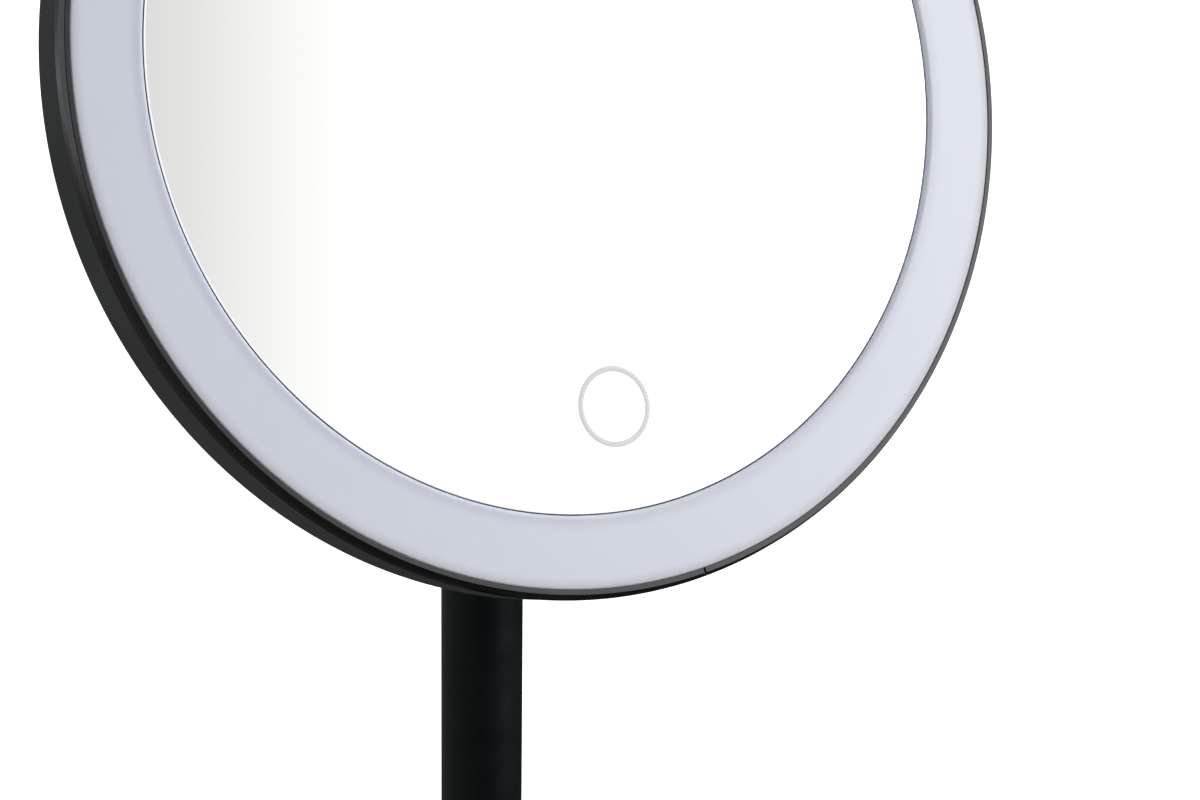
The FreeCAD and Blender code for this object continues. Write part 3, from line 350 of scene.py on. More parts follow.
class Nodes:
    """A node tree, with the few steps that every material and the stage are made of."""

    def __init__(self, tree):
        self.nodes = tree.nodes
        self.links = tree.links

    def add(self, kind, **settings):
        """A new shader node of that kind, with its own settings."""
        node = self.nodes.new(f"ShaderNode{kind}")
        for setting, value in settings.items():
            setattr(node, setting, value)
        return node

    def join(self, start, end):
        self.links.new(start, end)

    def math(self, operation, *values):
        """A math node, fed with numbers or with other nodes' outputs."""
        node = self.add("Math", operation=operation)
        for socket, value in zip(node.inputs, values):
            if isinstance(value, (int, float)):
                socket.default_value = value
            else:
                self.join(value, socket)
        return node.outputs["Value"]

    def remap(self, source, low, high, to_low, to_high, smooth=False):
        """A value carried from one range to another, and held at its ends."""
        node = self.add("MapRange", interpolation_type="SMOOTHSTEP" if smooth else "LINEAR")
        sockets = ("From Min", "From Max", "To Min", "To Max")
        for socket, value in zip(sockets, (low, high, to_low, to_high)):
            node.inputs[socket].default_value = value
        self.join(source, node.inputs["Value"])
        return node.outputs["Result"]

    def coordinates(self, place):
        """The X, Y and Z outputs of a vector."""
        split = self.add("SeparateXYZ")
        self.join(place, split.inputs["Vector"])
        return split.outputs

    def along(self, place, direction):
        """How far a vector reaches along a direction."""
        node = self.add("VectorMath", operation="DOT_PRODUCT")
        node.inputs[1].default_value = direction
        self.join(place, node.inputs[0])
        return node.outputs["Value"]

    def blend(self, factor, first, second):
        """first where the factor is 0, second where it is 1."""
        step = self.math("SUBTRACT", second, first)
        return self.math("ADD", first, self.math("MULTIPLY", step, factor))

    def profile(self, source, start, end, stops):
        """A value by stops of (place, value), between two places along the source."""
        top = max(value for place, value in stops)
        ramp = self.add("ValToRGB")
        elements = ramp.color_ramp.elements
        while len(elements) < len(stops):
            elements.new(0.5)
        for element, (place, value) in zip(elements, stops):
            element.position = (place - start) / (end - start)
            element.color = (*[value / top] * 3, 1)
        self.join(self.remap(source, start, end, 0.0, 1.0), ramp.inputs["Fac"])
        return self.math("MULTIPLY", ramp.outputs["Color"], top)

    def mix_shaders(self, factor, first, second):
        """The output of a shader that is first where the factor is 0 and second where it is 1."""
        mix = self.add("MixShader")
        self.join(factor, mix.inputs["Fac"])
        self.join(first, mix.inputs[1])
        self.join(second, mix.inputs[2])
        return mix.outputs["Shader"]


class Surface(Nodes):
    """A Principled material with helpers for procedural detail, in the piece's own coordinates."""

    def __init__(self, name, color, roughness=0.5, metallic=0.0, specular=0.5, **sockets):
        self.material = bpy.data.materials.new(name)
        self.material.use_nodes = True
        super().__init__(self.material.node_tree)
        self.inputs = self.nodes["Principled BSDF"].inputs
        self.put("Base Color", (*color, 1))
        self.put("Roughness", roughness)
        self.put("Metallic", metallic)
        self.put("Specular IOR Level", specular)
        for socket, value in sockets.items():
            self.put(socket.replace("_", " ").title(), value)
        self.place = self.add("TexCoord").outputs["Object"]

    def put(self, socket, value):
        self.inputs[socket].default_value = value

    def in_head(self):
        """From here on, coordinates are in the head's own frame."""
        mapping = self.add("Mapping", vector_type="TEXTURE")
        mapping.inputs["Location"].default_value = face_centre
        mapping.inputs["Rotation"].default_value = (math.pi / 2 - HEAD_TILT, 0, 0)
        self.join(self.place, mapping.inputs["Vector"])
        self.place = mapping.outputs["Vector"]
        return self

    def noise(self, size, detail=2.0, stretch=None):
        """Noise whose blobs are about size millimetres across."""
        node = self.add("TexNoise")
        node.inputs["Scale"].default_value = 1 / (size * MM)
        node.inputs["Detail"].default_value = detail
        source = self.place
        if stretch:
            mapping = self.add("Mapping")
            mapping.inputs["Scale"].default_value = stretch
            self.join(source, mapping.inputs["Vector"])
            source = mapping.outputs["Vector"]
        self.join(source, node.inputs["Vector"])
        return node.outputs["Fac"]

    def cells(self, size, feature="F1"):
        """Distance inside cells that are about size millimetres across."""
        node = self.add("TexVoronoi", feature=feature)
        node.inputs["Scale"].default_value = 1 / (size * MM)
        self.join(self.place, node.inputs["Vector"])
        return node.outputs["Distance"]

    def across(self):
        """The X coordinate, in metres."""
        return self.coordinates(self.place)["X"]

    def radius(self):
        """Distance from the Z axis of the current coordinates, in metres."""
        place = self.coordinates(self.place)
        squares = [self.math("MULTIPLY", place[axis], place[axis]) for axis in ("X", "Y")]
        return self.math("SQRT", self.math("ADD", *squares))

    def tint(self, factor, color):
        """Mixes another colour over the base by factor."""
        mix = self.add("Mix", data_type="RGBA")
        base = self.inputs["Base Color"]
        if base.is_linked:
            self.join(base.links[0].from_socket, mix.inputs["A"])
        else:
            mix.inputs["A"].default_value = base.default_value
        mix.inputs["B"].default_value = (*color, 1)
        self.join(factor, mix.inputs["Factor"])
        self.join(mix.outputs["Result"], base)

    def vary_roughness(self, factor, low, high):
        self.join(self.remap(factor, 0.3, 0.7, low, high), self.inputs["Roughness"])

    def raise_by(self, factor, height, strength=1.0):
        """Adds a bump of that height in millimetres, on top of the last one."""
        bump = self.add("Bump")
        bump.inputs["Distance"].default_value = height * MM
        bump.inputs["Strength"].default_value = strength
        self.join(factor, bump.inputs["Height"])
        normal = self.inputs["Normal"]
        if normal.is_linked:
            self.join(normal.links[0].from_socket, bump.inputs["Normal"])
        self.join(bump.outputs["Normal"], normal)


def scaled(color, factor, lift=0.0):
    """A colour made lighter or darker."""
    return tuple(channel * factor + lift for channel in color)


def powder_coat(name, color, roughness=0.42, specular=0.35, grain=0.5, height=0.006):
    """Satin black powder coat: orange peel, a finer grain, and cloudy changes of gloss."""
    surface = Surface(name, color, roughness, specular=specular)
    cloud = surface.noise(14, 3)
    surface.tint(surface.remap(cloud, 0.35, 0.7, 0.0, 0.5), scaled(color, 1.5, 0.002))
    surface.tint(surface.remap(surface.noise(0.35, 2), 0.62, 0.74, 0.0, 0.25), scaled(color, 2.0))
    surface.vary_roughness(surface.noise(6, 4), roughness - 0.05, roughness + 0.07)
    surface.raise_by(surface.noise(grain * 2.4, 2), height * 1.6)
    surface.raise_by(surface.noise(grain, 3), height)
    return surface


def moulded(name, color, roughness=0.55, specular=0.4, grain=0.35, height=0.01):
    """Moulded plastic with a spark-eroded texture."""
    surface = Surface(name, color, roughness, specular=specular)
    surface.tint(surface.remap(surface.noise(20, 3), 0.35, 0.7, 0.0, 0.4), scaled(color, 1.35, 0.002))
    surface.vary_roughness(surface.noise(3, 4), roughness - 0.04, roughness + 0.06)
    surface.raise_by(surface.cells(grain), height, 0.6)
    surface.raise_by(surface.noise(grain * 0.6, 3), height * 0.7)
    return surface


def plated(name, color, roughness=0.3):
    """Plated or blackened steel with fine turning marks and small stains."""
    surface = Surface(name, color, roughness, metallic=1.0)
    surface.tint(surface.remap(surface.noise(2.5, 4), 0.45, 0.75, 0.0, 0.6), scaled(color, 0.7))
    surface.vary_roughness(surface.noise(1.2, 4), roughness - 0.08, roughness + 0.14)
    surface.raise_by(surface.noise(0.18, 2, stretch=(1, 1, 6)), 0.003)
    return surface


def board(name, color, trace):
    """A circuit board: solder mask with faint copper tracks under it."""
    surface = Surface(name, color, 0.35, specular=0.5)
    surface.tint(surface.remap(surface.cells(1.6, "DISTANCE_TO_EDGE"), 0.0, 0.08, 0.7, 0.0), trace)
    surface.vary_roughness(surface.noise(2, 3), 0.3, 0.45)
    surface.raise_by(surface.noise(0.5, 2), 0.004)
    return surface


def opal_material():
    """Opal diffuser plastic: even and milky, with painted shade darkening it towards its edges, most on the
    left inside.
    """
    surface = Surface("opal", (0.628, 0.650, 0.728), 0.42, specular=0.22, subsurface_weight=0.8,
                      subsurface_radius=(1.0, 1.0, 1.1), subsurface_scale=0.004).in_head()
    radius = surface.radius()
    outer_start = (DIFFUSER_OUTER - OPAL_OUTER_SHADE_BAND) * MM
    outer = surface.remap(radius, outer_start, DIFFUSER_OUTER * MM, 0.0, 0.9, smooth=True)
    inner_end = (DIFFUSER_INNER + OPAL_INNER_SHADE_BAND) * MM
    inner = surface.remap(radius, DIFFUSER_INNER * MM, inner_end, 0.9, 0.0, smooth=True)
    # painted shade: darker towards the outer edge
    surface.tint(outer, (0.53, 0.535, 0.61))
    # painted shade: darker towards the inner edge, strongest on the left
    left_shade = surface.remap(surface.across(), -DIFFUSER_INNER * MM, DIFFUSER_INNER * MM, 1.0, 0.4)
    surface.tint(surface.math("MULTIPLY", inner, left_shade), (0.43, 0.445, 0.525))
    surface.tint(surface.remap(surface.noise(1.1, 3), 0.4, 0.7, 0.0, 0.10), (0.61, 0.63, 0.71))
    surface.vary_roughness(surface.noise(0.8, 2), 0.39, 0.45)
    surface.raise_by(surface.noise(0.5, 2), 0.0012)
    return surface


def mirror_material():
    """Silvered glass: a clean reflection with the faintest haze, and a white ground bevel that glows with
    painted light. Its edge is sealed dark, and the seal covers more of the bevel on the left, where the
    photo's line is darker."""
    surface = Surface("silvered_glass", (0.965, 0.968, 0.965), 0.0, metallic=1.0).in_head()
    radius = surface.radius()

    def outside(start, end):
        """1 beyond the end and 0 before the start, in millimetres in from the glass's edge."""
        return surface.remap(radius, (GLASS_RADIUS - start) * MM, (GLASS_RADIUS - end) * MM, 0.0, 1.0)

    ground = outside(GLASS_BEVEL + BEVEL_BLUR, GLASS_BEVEL - BEVEL_BLUR)
    # a dark band over the bevel, wider on the left, joined to the seal
    left = surface.remap(surface.across(), DARK_BAND_LEFT_TO * GLASS_RADIUS * MM, 0.0, 1.0, 0.0)
    left_dark_band = surface.math("MULTIPLY", outside(*DARK_BAND_LEFT), left)
    seal_and_left_band = surface.math("MAXIMUM", outside(*SEAL_NARROW), left_dark_band)
    surface.tint(ground, (0.97, 0.97, 0.97))
    # the dark seal together with the dark band that is wider on the left
    surface.tint(seal_and_left_band, (0.05, 0.05, 0.055))
    surface.join(surface.math("SUBTRACT", 1.0, ground), surface.inputs["Metallic"])
    surface.tint(surface.remap(surface.noise(40, 4), 0.5, 0.8, 0.0, 0.12), (0.94, 0.945, 0.94))
    haze = surface.remap(surface.noise(3, 5), 0.5, 0.9, 0.0, 0.003)
    rough = surface.math("ADD", haze, surface.math("MULTIPLY", ground, 0.4))
    surface.join(rough, surface.inputs["Roughness"])
    # painted glow: the ground bevel shines white where the seal leaves it bare
    surface.put("Emission Color", (0.96, 0.98, 1.0, 1))
    lit = surface.math("MULTIPLY", surface.math("SUBTRACT", ground, seal_and_left_band), BEVEL_PAINTED_GLOW)
    surface.join(lit, surface.inputs["Emission Strength"])
    return surface


def frosted_material():
    """The etched ring: light grey, dead matt, finely pitted."""
    surface = Surface("frosted_ring", (0.64, 0.65, 0.64), 0.85, specular=0.2)
    surface.tint(surface.remap(surface.noise(0.3, 2), 0.4, 0.65, 0.0, 0.3), (0.69, 0.70, 0.69))
    surface.vary_roughness(surface.noise(0.4, 3), 0.78, 0.92)
    surface.raise_by(surface.noise(0.2, 2), 0.002)
    return surface


def rubber_material():
    """Black rubber, dusty in places, with a pebbled surface."""
    surface = Surface("foot_rubber", (0.03, 0.03, 0.031), 0.8, specular=0.25)
    surface.tint(surface.remap(surface.noise(8, 4), 0.4, 0.7, 0.0, 0.6), (0.055, 0.055, 0.056))
    surface.vary_roughness(surface.noise(3, 3), 0.7, 0.9)
    surface.raise_by(surface.cells(0.5), 0.03)
    return surface


def iron_material():
    """Rough cast iron with brown stains."""
    surface = Surface("cast_iron", (0.10, 0.10, 0.105), 0.6, metallic=0.8)
    surface.tint(surface.remap(surface.noise(5, 5), 0.5, 0.75, 0.0, 0.7), (0.16, 0.13, 0.11))
    surface.vary_roughness(surface.noise(2, 4), 0.5, 0.75)
    surface.raise_by(surface.noise(1.2, 4), 0.12)
    return surface


def foil_material():
    """The battery's wrinkled aluminium pouch."""
    surface = Surface("battery_foil", (0.72, 0.73, 0.74), 0.3, metallic=1.0)
    surface.tint(surface.remap(surface.noise(6, 3), 0.4, 0.7, 0.0, 0.5), (0.6, 0.61, 0.63))
    surface.vary_roughness(surface.noise(1.5, 4), 0.22, 0.42)
    surface.raise_by(surface.noise(3, 3), 0.08)
    return surface


def plain_plastic(name, color, roughness=0.4):
    """Light moulded plastic such as nylon or the white tray."""
    surface = Surface(name, color, roughness, specular=0.45)
    surface.tint(surface.remap(surface.noise(10, 3), 0.4, 0.7, 0.0, 0.5), scaled(color, 0.93))
    surface.vary_roughness(surface.noise(3, 3), roughness - 0.06, roughness + 0.08)
    surface.raise_by(surface.noise(0.5, 2), 0.005)
    return surface


def make_materials():
    """One finish for each of the record's slots."""
    return {
        "bezel_paint": powder_coat("bezel_paint", (0.0035, 0.0037, 0.0042), 0.22, 0.76, 0.30, 0.003),
        "housing_plastic": moulded("housing_plastic", (0.044, 0.045, 0.046), 0.70, 0.05),
        "opal_diffuser": opal_material(),
        "mirror_glass": mirror_material(),
        "frosted_mark": frosted_material(),
        "white_plastic": plain_plastic("white_plastic", (0.84, 0.84, 0.83)),
        "white_board": board("white_board", (0.78, 0.79, 0.78), (0.70, 0.71, 0.70)),
        "green_board": board("green_board", (0.03, 0.16, 0.08), (0.06, 0.26, 0.13)),
        "led_lens": plain_plastic("led_lens", (0.86, 0.76, 0.36), 0.25),
        "contact_metal": plated("contact_metal", (0.80, 0.62, 0.30), 0.25),
        "battery_foil": foil_material(),
        "foam_tape": moulded("foam_tape", (0.05, 0.05, 0.05), 0.9, 0.1, 0.4, 0.05),
        "socket_steel": plated("socket_steel", (0.62, 0.62, 0.63), 0.22),
        "lead_red": plain_plastic("lead_red", (0.45, 0.03, 0.03)),
        "lead_white": plain_plastic("lead_white", (0.78, 0.78, 0.77)),
        "screw_steel": plated("screw_steel", (0.58, 0.58, 0.60)),
        "black_screw": plated("black_screw", (0.06, 0.06, 0.065), 0.38),
        "hinge_metal": powder_coat("hinge_metal", (0.014, 0.015, 0.016), 0.40, 0.30, 0.45),
        "column_paint": powder_coat("column_paint", (0.0040, 0.0062, 0.0070), 0.30, 0.30, 0.5, 0.0009),
        "inner_tube_paint": powder_coat("inner_tube_paint", (0.006, 0.0075, 0.008), 0.26, 0.2, 0.6, 0.002),
        "collar_plastic": moulded("collar_plastic", (0.014, 0.015, 0.016), 0.52, 0.3),
        "black_plastic": moulded("black_plastic", (0.02, 0.02, 0.021), 0.5, 0.35),
        "black_nylon": moulded("black_nylon", (0.02, 0.02, 0.021), 0.45, 0.35, 0.5, 0.004),
        "nylon": plain_plastic("nylon", (0.74, 0.73, 0.67)),
        "base_paint": powder_coat("base_paint", (0.008, 0.009, 0.010), 0.40, 0.22, 0.5, 0.004),
        "weight_iron": iron_material(),
        "foot_rubber": rubber_material(),
    }


# ---------------------------------------------------------------- the head

def make_bezel():
    """The thin front ring: a flat lip with one fine butt joint, and a side that widens towards the seam."""
    outline = rounded([(LIP_RADIUS, 0.0, 0.18), (HEAD_RADIUS - 0.3, -1.4, 2.0),
                       (HEAD_RADIUS, BEZEL_BACK, 0.15), (LAP_RADIUS, BEZEL_BACK), (LAP_RADIUS, LAP_BACK),
                       (OPENING_RADIUS, LAP_BACK), (OPENING_RADIUS, 0.0, 0.12)])
    piece = lathe("front_bezel.fine", outline, to_head, TURNS * 2)
    half, inner, outer = BUTT_JOINT_HALF_WIDTH, HEAD_RADIUS - 2.5, HEAD_RADIUS + 0.5
    joint = [(-half, inner), (half, inner), (half, outer), (-half, outer)]
    place = to_head @ Matrix.Rotation(BUTT_JOINT_TURN, 4, "Z")
    groove = extruded("butt_joint", joint, -BUTT_JOINT_DEPTH, 1.0, place)
    return stand_for(carve(piece, [groove]), "front_bezel")


def make_housing():
    """The rear pan, a little narrower at the back, with the socket's slot and six countersunk holes."""
    outer = HEAD_RADIUS - 0.1
    rim = outer - 0.75
    inner = HEAD_RADIUS - 2.0
    step, step_radius = LAP_BACK - LAP_GAP, LAP_RADIUS + 0.05
    outline = rounded([(inner, HOUSING_FLOOR), (inner, step), (step_radius, step),
                       (step_radius, HOUSING_FRONT), (outer, HOUSING_FRONT, 0.15), (rim, HEAD_BACK, 1.0),
                       (0, HEAD_BACK), (0, HOUSING_FLOOR)], 10)
    piece = lathe("rear_housing.fine", outline, to_spun_head, TURNS * 2)
    cutters = [extruded("slot_cutter", stadium(*SOCKET_SLOT), HEAD_RADIUS - 6, HEAD_RADIUS + 2, to_socket)]
    mouth, sink, hole = SCREW_MOUTH_RADIUS, SCREW_SINK_RADIUS, SCREW_HOLE_RADIUS
    end = HOUSING_FLOOR + 1
    profile = [(0, HEAD_BACK - 1), (mouth, HEAD_BACK - 1), (mouth, HEAD_BACK), (sink, HEAD_BACK + 0.45),
               (sink, HEAD_BACK + 0.6), (hole, HEAD_BACK + 1.2), (hole, end), (0, end)]
    for index in range(HOUSING_SCREWS):
        angle = math.radians(360 / HOUSING_SCREWS * index)
        x, y = HOUSING_SCREW_RADIUS * math.cos(angle) * MM, HOUSING_SCREW_RADIUS * math.sin(angle) * MM
        cutters.append(lathe(f"sink_{index}", profile, to_spun_head @ Matrix.Translation((x, y, 0)), 48))
    return stand_for(carve(piece, cutters), "rear_housing")


def make_diffuser():
    """The opal ring with a flat crown and soft edges."""
    outer_wall, inner_wall = 96.3, 85.35
    inner_round, outer_round = DIFFUSER_INNER_ROUND, DIFFUSER_OUTER_ROUND
    inner_edge = quarter((DIFFUSER_INNER + inner_round, -inner_round), (inner_round, inner_round), 180, 90)
    outer_edge = quarter((DIFFUSER_OUTER - outer_round, -outer_round), (outer_round, outer_round), 90, 0, 6)
    under = [(DIFFUSER_OUTER, DIFFUSER_SKIRT), (outer_wall, DIFFUSER_SKIRT), (outer_wall, DIFFUSER_PLATE),
             (inner_wall, DIFFUSER_PLATE), (inner_wall, DIFFUSER_SKIRT), (DIFFUSER_INNER, DIFFUSER_SKIRT)]
    piece = lathe("diffuser_ring.fine", inner_edge + outer_edge + under, to_head, TURNS * 2)
    return stand_for(piece, "diffuser_ring")


def make_glass():
    """The mirror: a flat disc with a narrow bevel."""
    outline = [(0, GLASS_LEVEL), (GLASS_RADIUS - GLASS_BEVEL, GLASS_LEVEL),
               (GLASS_RADIUS, GLASS_LEVEL - GLASS_BEVEL), (GLASS_RADIUS, GLASS_BACK), (0, GLASS_BACK)]
    piece = lathe("mirror_glass.fine", outline, to_head, TURNS * 2)
    return stand_for(piece, "mirror_glass")


def make_touch_ring():
    """The frosted ring, a hair proud of the glass."""
    top = GLASS_LEVEL + TOUCH_PROUD
    outline = rounded([(TOUCH_INNER, top - 0.1), (TOUCH_INNER, top, 0.015), (TOUCH_OUTER, top, 0.015),
                       (TOUCH_OUTER, top - 0.1)], 2)
    place = to_head @ Matrix.Rotation(GLASS_TURN, 4, "Z") @ Matrix.Translation((0, TOUCH_CENTRE * MM, 0))
    return stand_for(lathe("touch_ring.fine", outline, place, 128), "touch_ring")


def bar(name, middle, half_width, low, high, start, end):
    """A straight strip inside the socket: its middle and half width across, two levels and two ends."""
    outline = [(middle - half_width, low), (middle + half_width, low),
               (middle + half_width, high), (middle - half_width, high)]
    return extruded(name, outline, start, end, to_socket)


def make_socket():
    """The socket's shell, drawn round at its ends, with the tongue and its contacts."""
    back = SOCKET_MOUTH - SOCKET_LENGTH
    shell = extruded("charging_socket.fine", stadium(*SOCKET_OUTSIDE), back, SOCKET_MOUTH, to_socket)
    hollow = extruded("hollow", stadium(*SOCKET_INSIDE), back + 0.8, SOCKET_MOUTH + 1, to_socket)
    stand_for(carve(finish_mesh(shell), [hollow]), "charging_socket")
    tongue = finish_mesh(bar("socket_tongue", 0, 3.35, -0.35, 0.35, back + 0.5, SOCKET_MOUTH - 1.2))
    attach(tongue, "head")
    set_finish(tongue, "black_plastic")
    contacts = []
    ends = SOCKET_MOUTH - 5.5, SOCKET_MOUTH - 1.6
    for index in range(CONTACTS):
        middle = CONTACT_PITCH * (index - (CONTACTS - 1) / 2)
        contacts.append(bar(f"contact_{index}", middle, 0.13, 0.36, 0.40, *ends))
    strip = joined("socket_contacts", contacts)
    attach(strip, "head")
    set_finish(strip, "contact_metal")


# ---------------------------------------------------------------- column and base

def node_levels(node):
    """A node's lowest and highest level in millimetres."""
    low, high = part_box(node)
    return low.z / MM, high.z / MM


def tube(node, outer, wall, lip=0.25):
    """A round tube with softened ends, in place of a CAD tube."""
    low, high = node_levels(node)
    outline = rounded([(outer - wall, low), (outer, low, lip), (outer, high, lip), (outer - wall, high)])
    return stand_for(lathe(f"{node}.fine", outline, None, SMALL_TURNS), node)


def make_collar():
    """The twist lock: a fluted sleeve with a chamfered roof."""
    low, high = node_levels("lock_collar")
    first, last = low + 3.0, high - 5.0

    def flute(angle, radius, level):
        if radius < COLLAR_RADIUS - 0.3 or not first - FLUTE_FADE < level < last + FLUTE_FADE:
            return radius
        near = min((level - first + FLUTE_FADE) / FLUTE_FADE, (last + FLUTE_FADE - level) / FLUTE_FADE, 1.0)
        wave = max(0.0, math.cos(FLUTES * angle)) ** 1.6
        return radius - FLUTE_DEPTH * wave * near

    steps = 40
    side_low, side_high = low + 0.8, high - 1.5
    side = [(COLLAR_RADIUS, side_low + (side_high - side_low) * step / steps) for step in range(steps + 1)]
    foot = quarter((COLLAR_RADIUS - 0.8, low + 0.8), (0.8, 0.8), -90, 0, 6)
    roof = quarter((COLLAR_RADIUS - 1.6, high - 1.6), (1.6, 1.6), 0, 90, 8)
    ceiling = high - 2.0
    under = rounded([(COLLAR_MOUTH, high, 0.4), (COLLAR_MOUTH, ceiling), (TUBE_HOLE, ceiling),
                     (TUBE_HOLE, low, 0.3), (COLLAR_RADIUS - 0.8, low)])
    outline = foot[:-1] + side + roof[1:] + under[:-1]
    return stand_for(lathe("lock_collar.fine", outline, None, FLUTES * 16, flute), "lock_collar")


def make_base_cover():
    """The round foot's painted shell, with a soft shoulder and an open underside."""
    low, high = node_levels("base_cover")
    inner, bend = BASE_RADIUS - BASE_WALL, BASE_SHOULDER
    shoulder = quarter((BASE_RADIUS - bend, high - bend), (bend, bend), 0, 90, 14)
    inside = [(TUBE_HOLE, high), (TUBE_HOLE, high - BASE_WALL), (inner, high - BASE_WALL), (inner, low)]
    foot = [(BASE_RADIUS - 0.35, low), (BASE_RADIUS, low + 0.35)]
    stand_for(lathe("base_cover.fine", foot + shoulder + inside, None, TURNS * 2), "base_cover")


def make_flange():
    """The ring where the column meets the base, with a hollow sweep."""
    low, high = node_levels("column_flange")
    sweep = quarter((FLANGE_RADIUS, high), (FLANGE_RADIUS - FLANGE_NECK, high - low - 0.8), 180, 270, 12)
    outline = [(TUBE_HOLE, low), (FLANGE_RADIUS, low)] + sweep[::-1] + [(9.3, high), (TUBE_HOLE, high)]
    stand_for(lathe("column_flange.fine", outline, None, SMALL_TURNS), "column_flange")


def make_foot_pad():
    """The rubber disc under the base, rounded where it meets the table."""
    low, high = node_levels("foot_pad")
    outline = rounded([(0, low), (PAD_RADIUS, low, 0.4), (PAD_RADIUS, high), (0, high)])
    stand_for(lathe("foot_pad.fine", outline, None, TURNS), "foot_pad")


def make_hinge():
    """Bracket, fork, bushes and hardware with rounded edges, and the two domed caps."""
    roundings = {"head_bracket": 0.7, "swivel_yoke": 0.6, "swivel_bush": 0.2, "friction_washers": 0.08,
                 "tilt_nut": 0.15, "tilt_bolt": 0.12}
    for node, width in roundings.items():
        softened(node, width)
    socket, end = CAP_RADIUS - 0.8, CAP_FROM + CAP_LENGTH
    crown = quarter((CAP_RADIUS - CAP_CROWN, end - CAP_CROWN), (CAP_CROWN, CAP_CROWN), 0, 90, 8)
    outline = ([(socket, CAP_FROM), (CAP_RADIUS - 0.15, CAP_FROM), (CAP_RADIUS, CAP_FROM + 0.15)] + crown
               + [(0, end), (0, end - 0.8), (socket, end - 0.8)])
    caps = []
    for side in (1, -1):
        mirrored = Matrix.Diagonal((1, 1, side, 1))
        caps.append(lathe(f"cap_{side}", outline, to_axle @ mirrored, SMALL_TURNS))
    stand_for(joined("axle_caps.fine", caps), "axle_caps")


# ---------------------------------------------------------------- camera and stage

# The camera stands left of the mirror and above it, looking down, rolled a little.
CAMERA_FROM_FACE = Vector((-353.2, -610.3, 162.7)) * MM
CAMERA_AZIMUTH = math.radians(30.76)
CAMERA_PITCH = math.radians(17.90)
CAMERA_ROLL = math.radians(0.72)
CAMERA_LENS = 114.0         # millimetres, on a sensor 36 mm wide
CAMERA_SENSOR = 36.0

# The key panel hangs where the camera sees its reflection in the glass. Its glow runs along its width,
# in metres from the point that the middle of the view reflects.
PANEL_DISTANCE = 0.9
PANEL_LEFT = -0.50
PANEL_RIGHT = 0.95
PANEL_HALF_HEIGHT = 0.62
PANEL_SOFT_EDGE = 0.2
PANEL_COLOR = (1.0, 1.0, 0.985)
PANEL_GLOW = ((-0.27, 0.50), (-0.200, 0.735), (-0.175, 0.80), (-0.140, 0.94), (-0.110, 1.05),
              (0.0, 1.2), (0.14, 2.4), (0.30, 3.1), (0.80, 2.7))
PANEL_THROWN = 0.5      # the panel's glow for matt surfaces that see it in the mirror

# Light from all round, by direction. Matt surfaces see it bright, and dim on the camera's side. Glossy ones
# see it fade towards the horizon as well, with a glow far to the left. The mirror sees an even pale room.
DIM_SIDE = Vector((-0.80, -0.55, 0.05)).normalized()
DIM_RANGE = (0.05, 0.75)            # along the dim side: from bright to dim
DIM_LEVEL = 0.06
BRIGHT_LEVEL = 0.95
LIGHT_COLOR = (0.87, 0.94, 1.0)
HORIZON = (0.12, 0.5)               # by height: from the horizon's level to full
HORIZON_LEVEL = 0.05
FAR_GLOW = (0.88, 1.0, 0.0, 1.1)    # along the glossy side: start, end and the glow at each
ROOM_HEIGHTS = (-0.1, 0.8)
MIRRORED_ROOM = (0.60, 0.95)        # the pale room at those two heights

# The floor: how it glows to the camera, to matt surfaces, to the mirror, and to glossy surfaces, which see
# it dark near the object and bright far off to the left, by distance along that side in metres.
FLOOR_SIZE = 14
FLOOR_LIFT = 0.35
FLOOR_FADE = (0.6, 2.5)     # metres from the middle, where the camera's floor fades into the white world
DIFFUSE_FLOOR = 0.8
MIRRORED_FLOOR = 0.6
GLOSSY_SIDE = Vector((-0.862, 0.507, 0.0))
GLOSSY_START = -0.1
GLOSSY_END = 4.5
GLOSSY_GLOW = ((0.0, 0.02), (0.2, 0.10), (0.4, 0.14), (0.8, 0.15), (1.3, 0.27), (1.7, 0.38), (2.5, 0.7),
               (4.4, 1.3))

# Two square lamps: where each is, what it points at, its size in metres and its power in watts.
TOP_LIGHT = ((0.3, 0.6, 1.9), (0.05, 0.3, 0.0), 2.4, 25)
SIDE_LIGHT = ((0.50, -0.36, 0.45), (0.10, -0.03, 0.30), 0.3, 1.35)
SIDE_LIGHT_COLOR = (1.0, 0.965, 0.92)


def stage_material(name):
    """A material with an empty node tree, and its output node."""
    material = bpy.data.materials.new(name)
    material.use_nodes = True
    material.node_tree.nodes.clear()
    tree = Nodes(material.node_tree)
    return material, tree, tree.add("OutputMaterial")


def make_camera():
    """The photograph's camera."""
    camera = bpy.data.objects.new("camera", bpy.data.cameras.new("camera"))
    bpy.context.scene.collection.objects.link(camera)
    camera.data.lens = CAMERA_LENS
    camera.data.sensor_width = CAMERA_SENSOR
    camera.data.clip_start = 0.01
    turn = Matrix.Rotation(-CAMERA_AZIMUTH, 4, "Z")
    level_view = turn @ Matrix.Rotation(math.pi / 2 - CAMERA_PITCH, 4, "X")
    camera.matrix_world = (Matrix.Translation(face_centre + CAMERA_FROM_FACE) @ level_view
                           @ Matrix.Rotation(CAMERA_ROLL, 4, "Z"))
    bpy.context.scene.camera = camera
    return camera


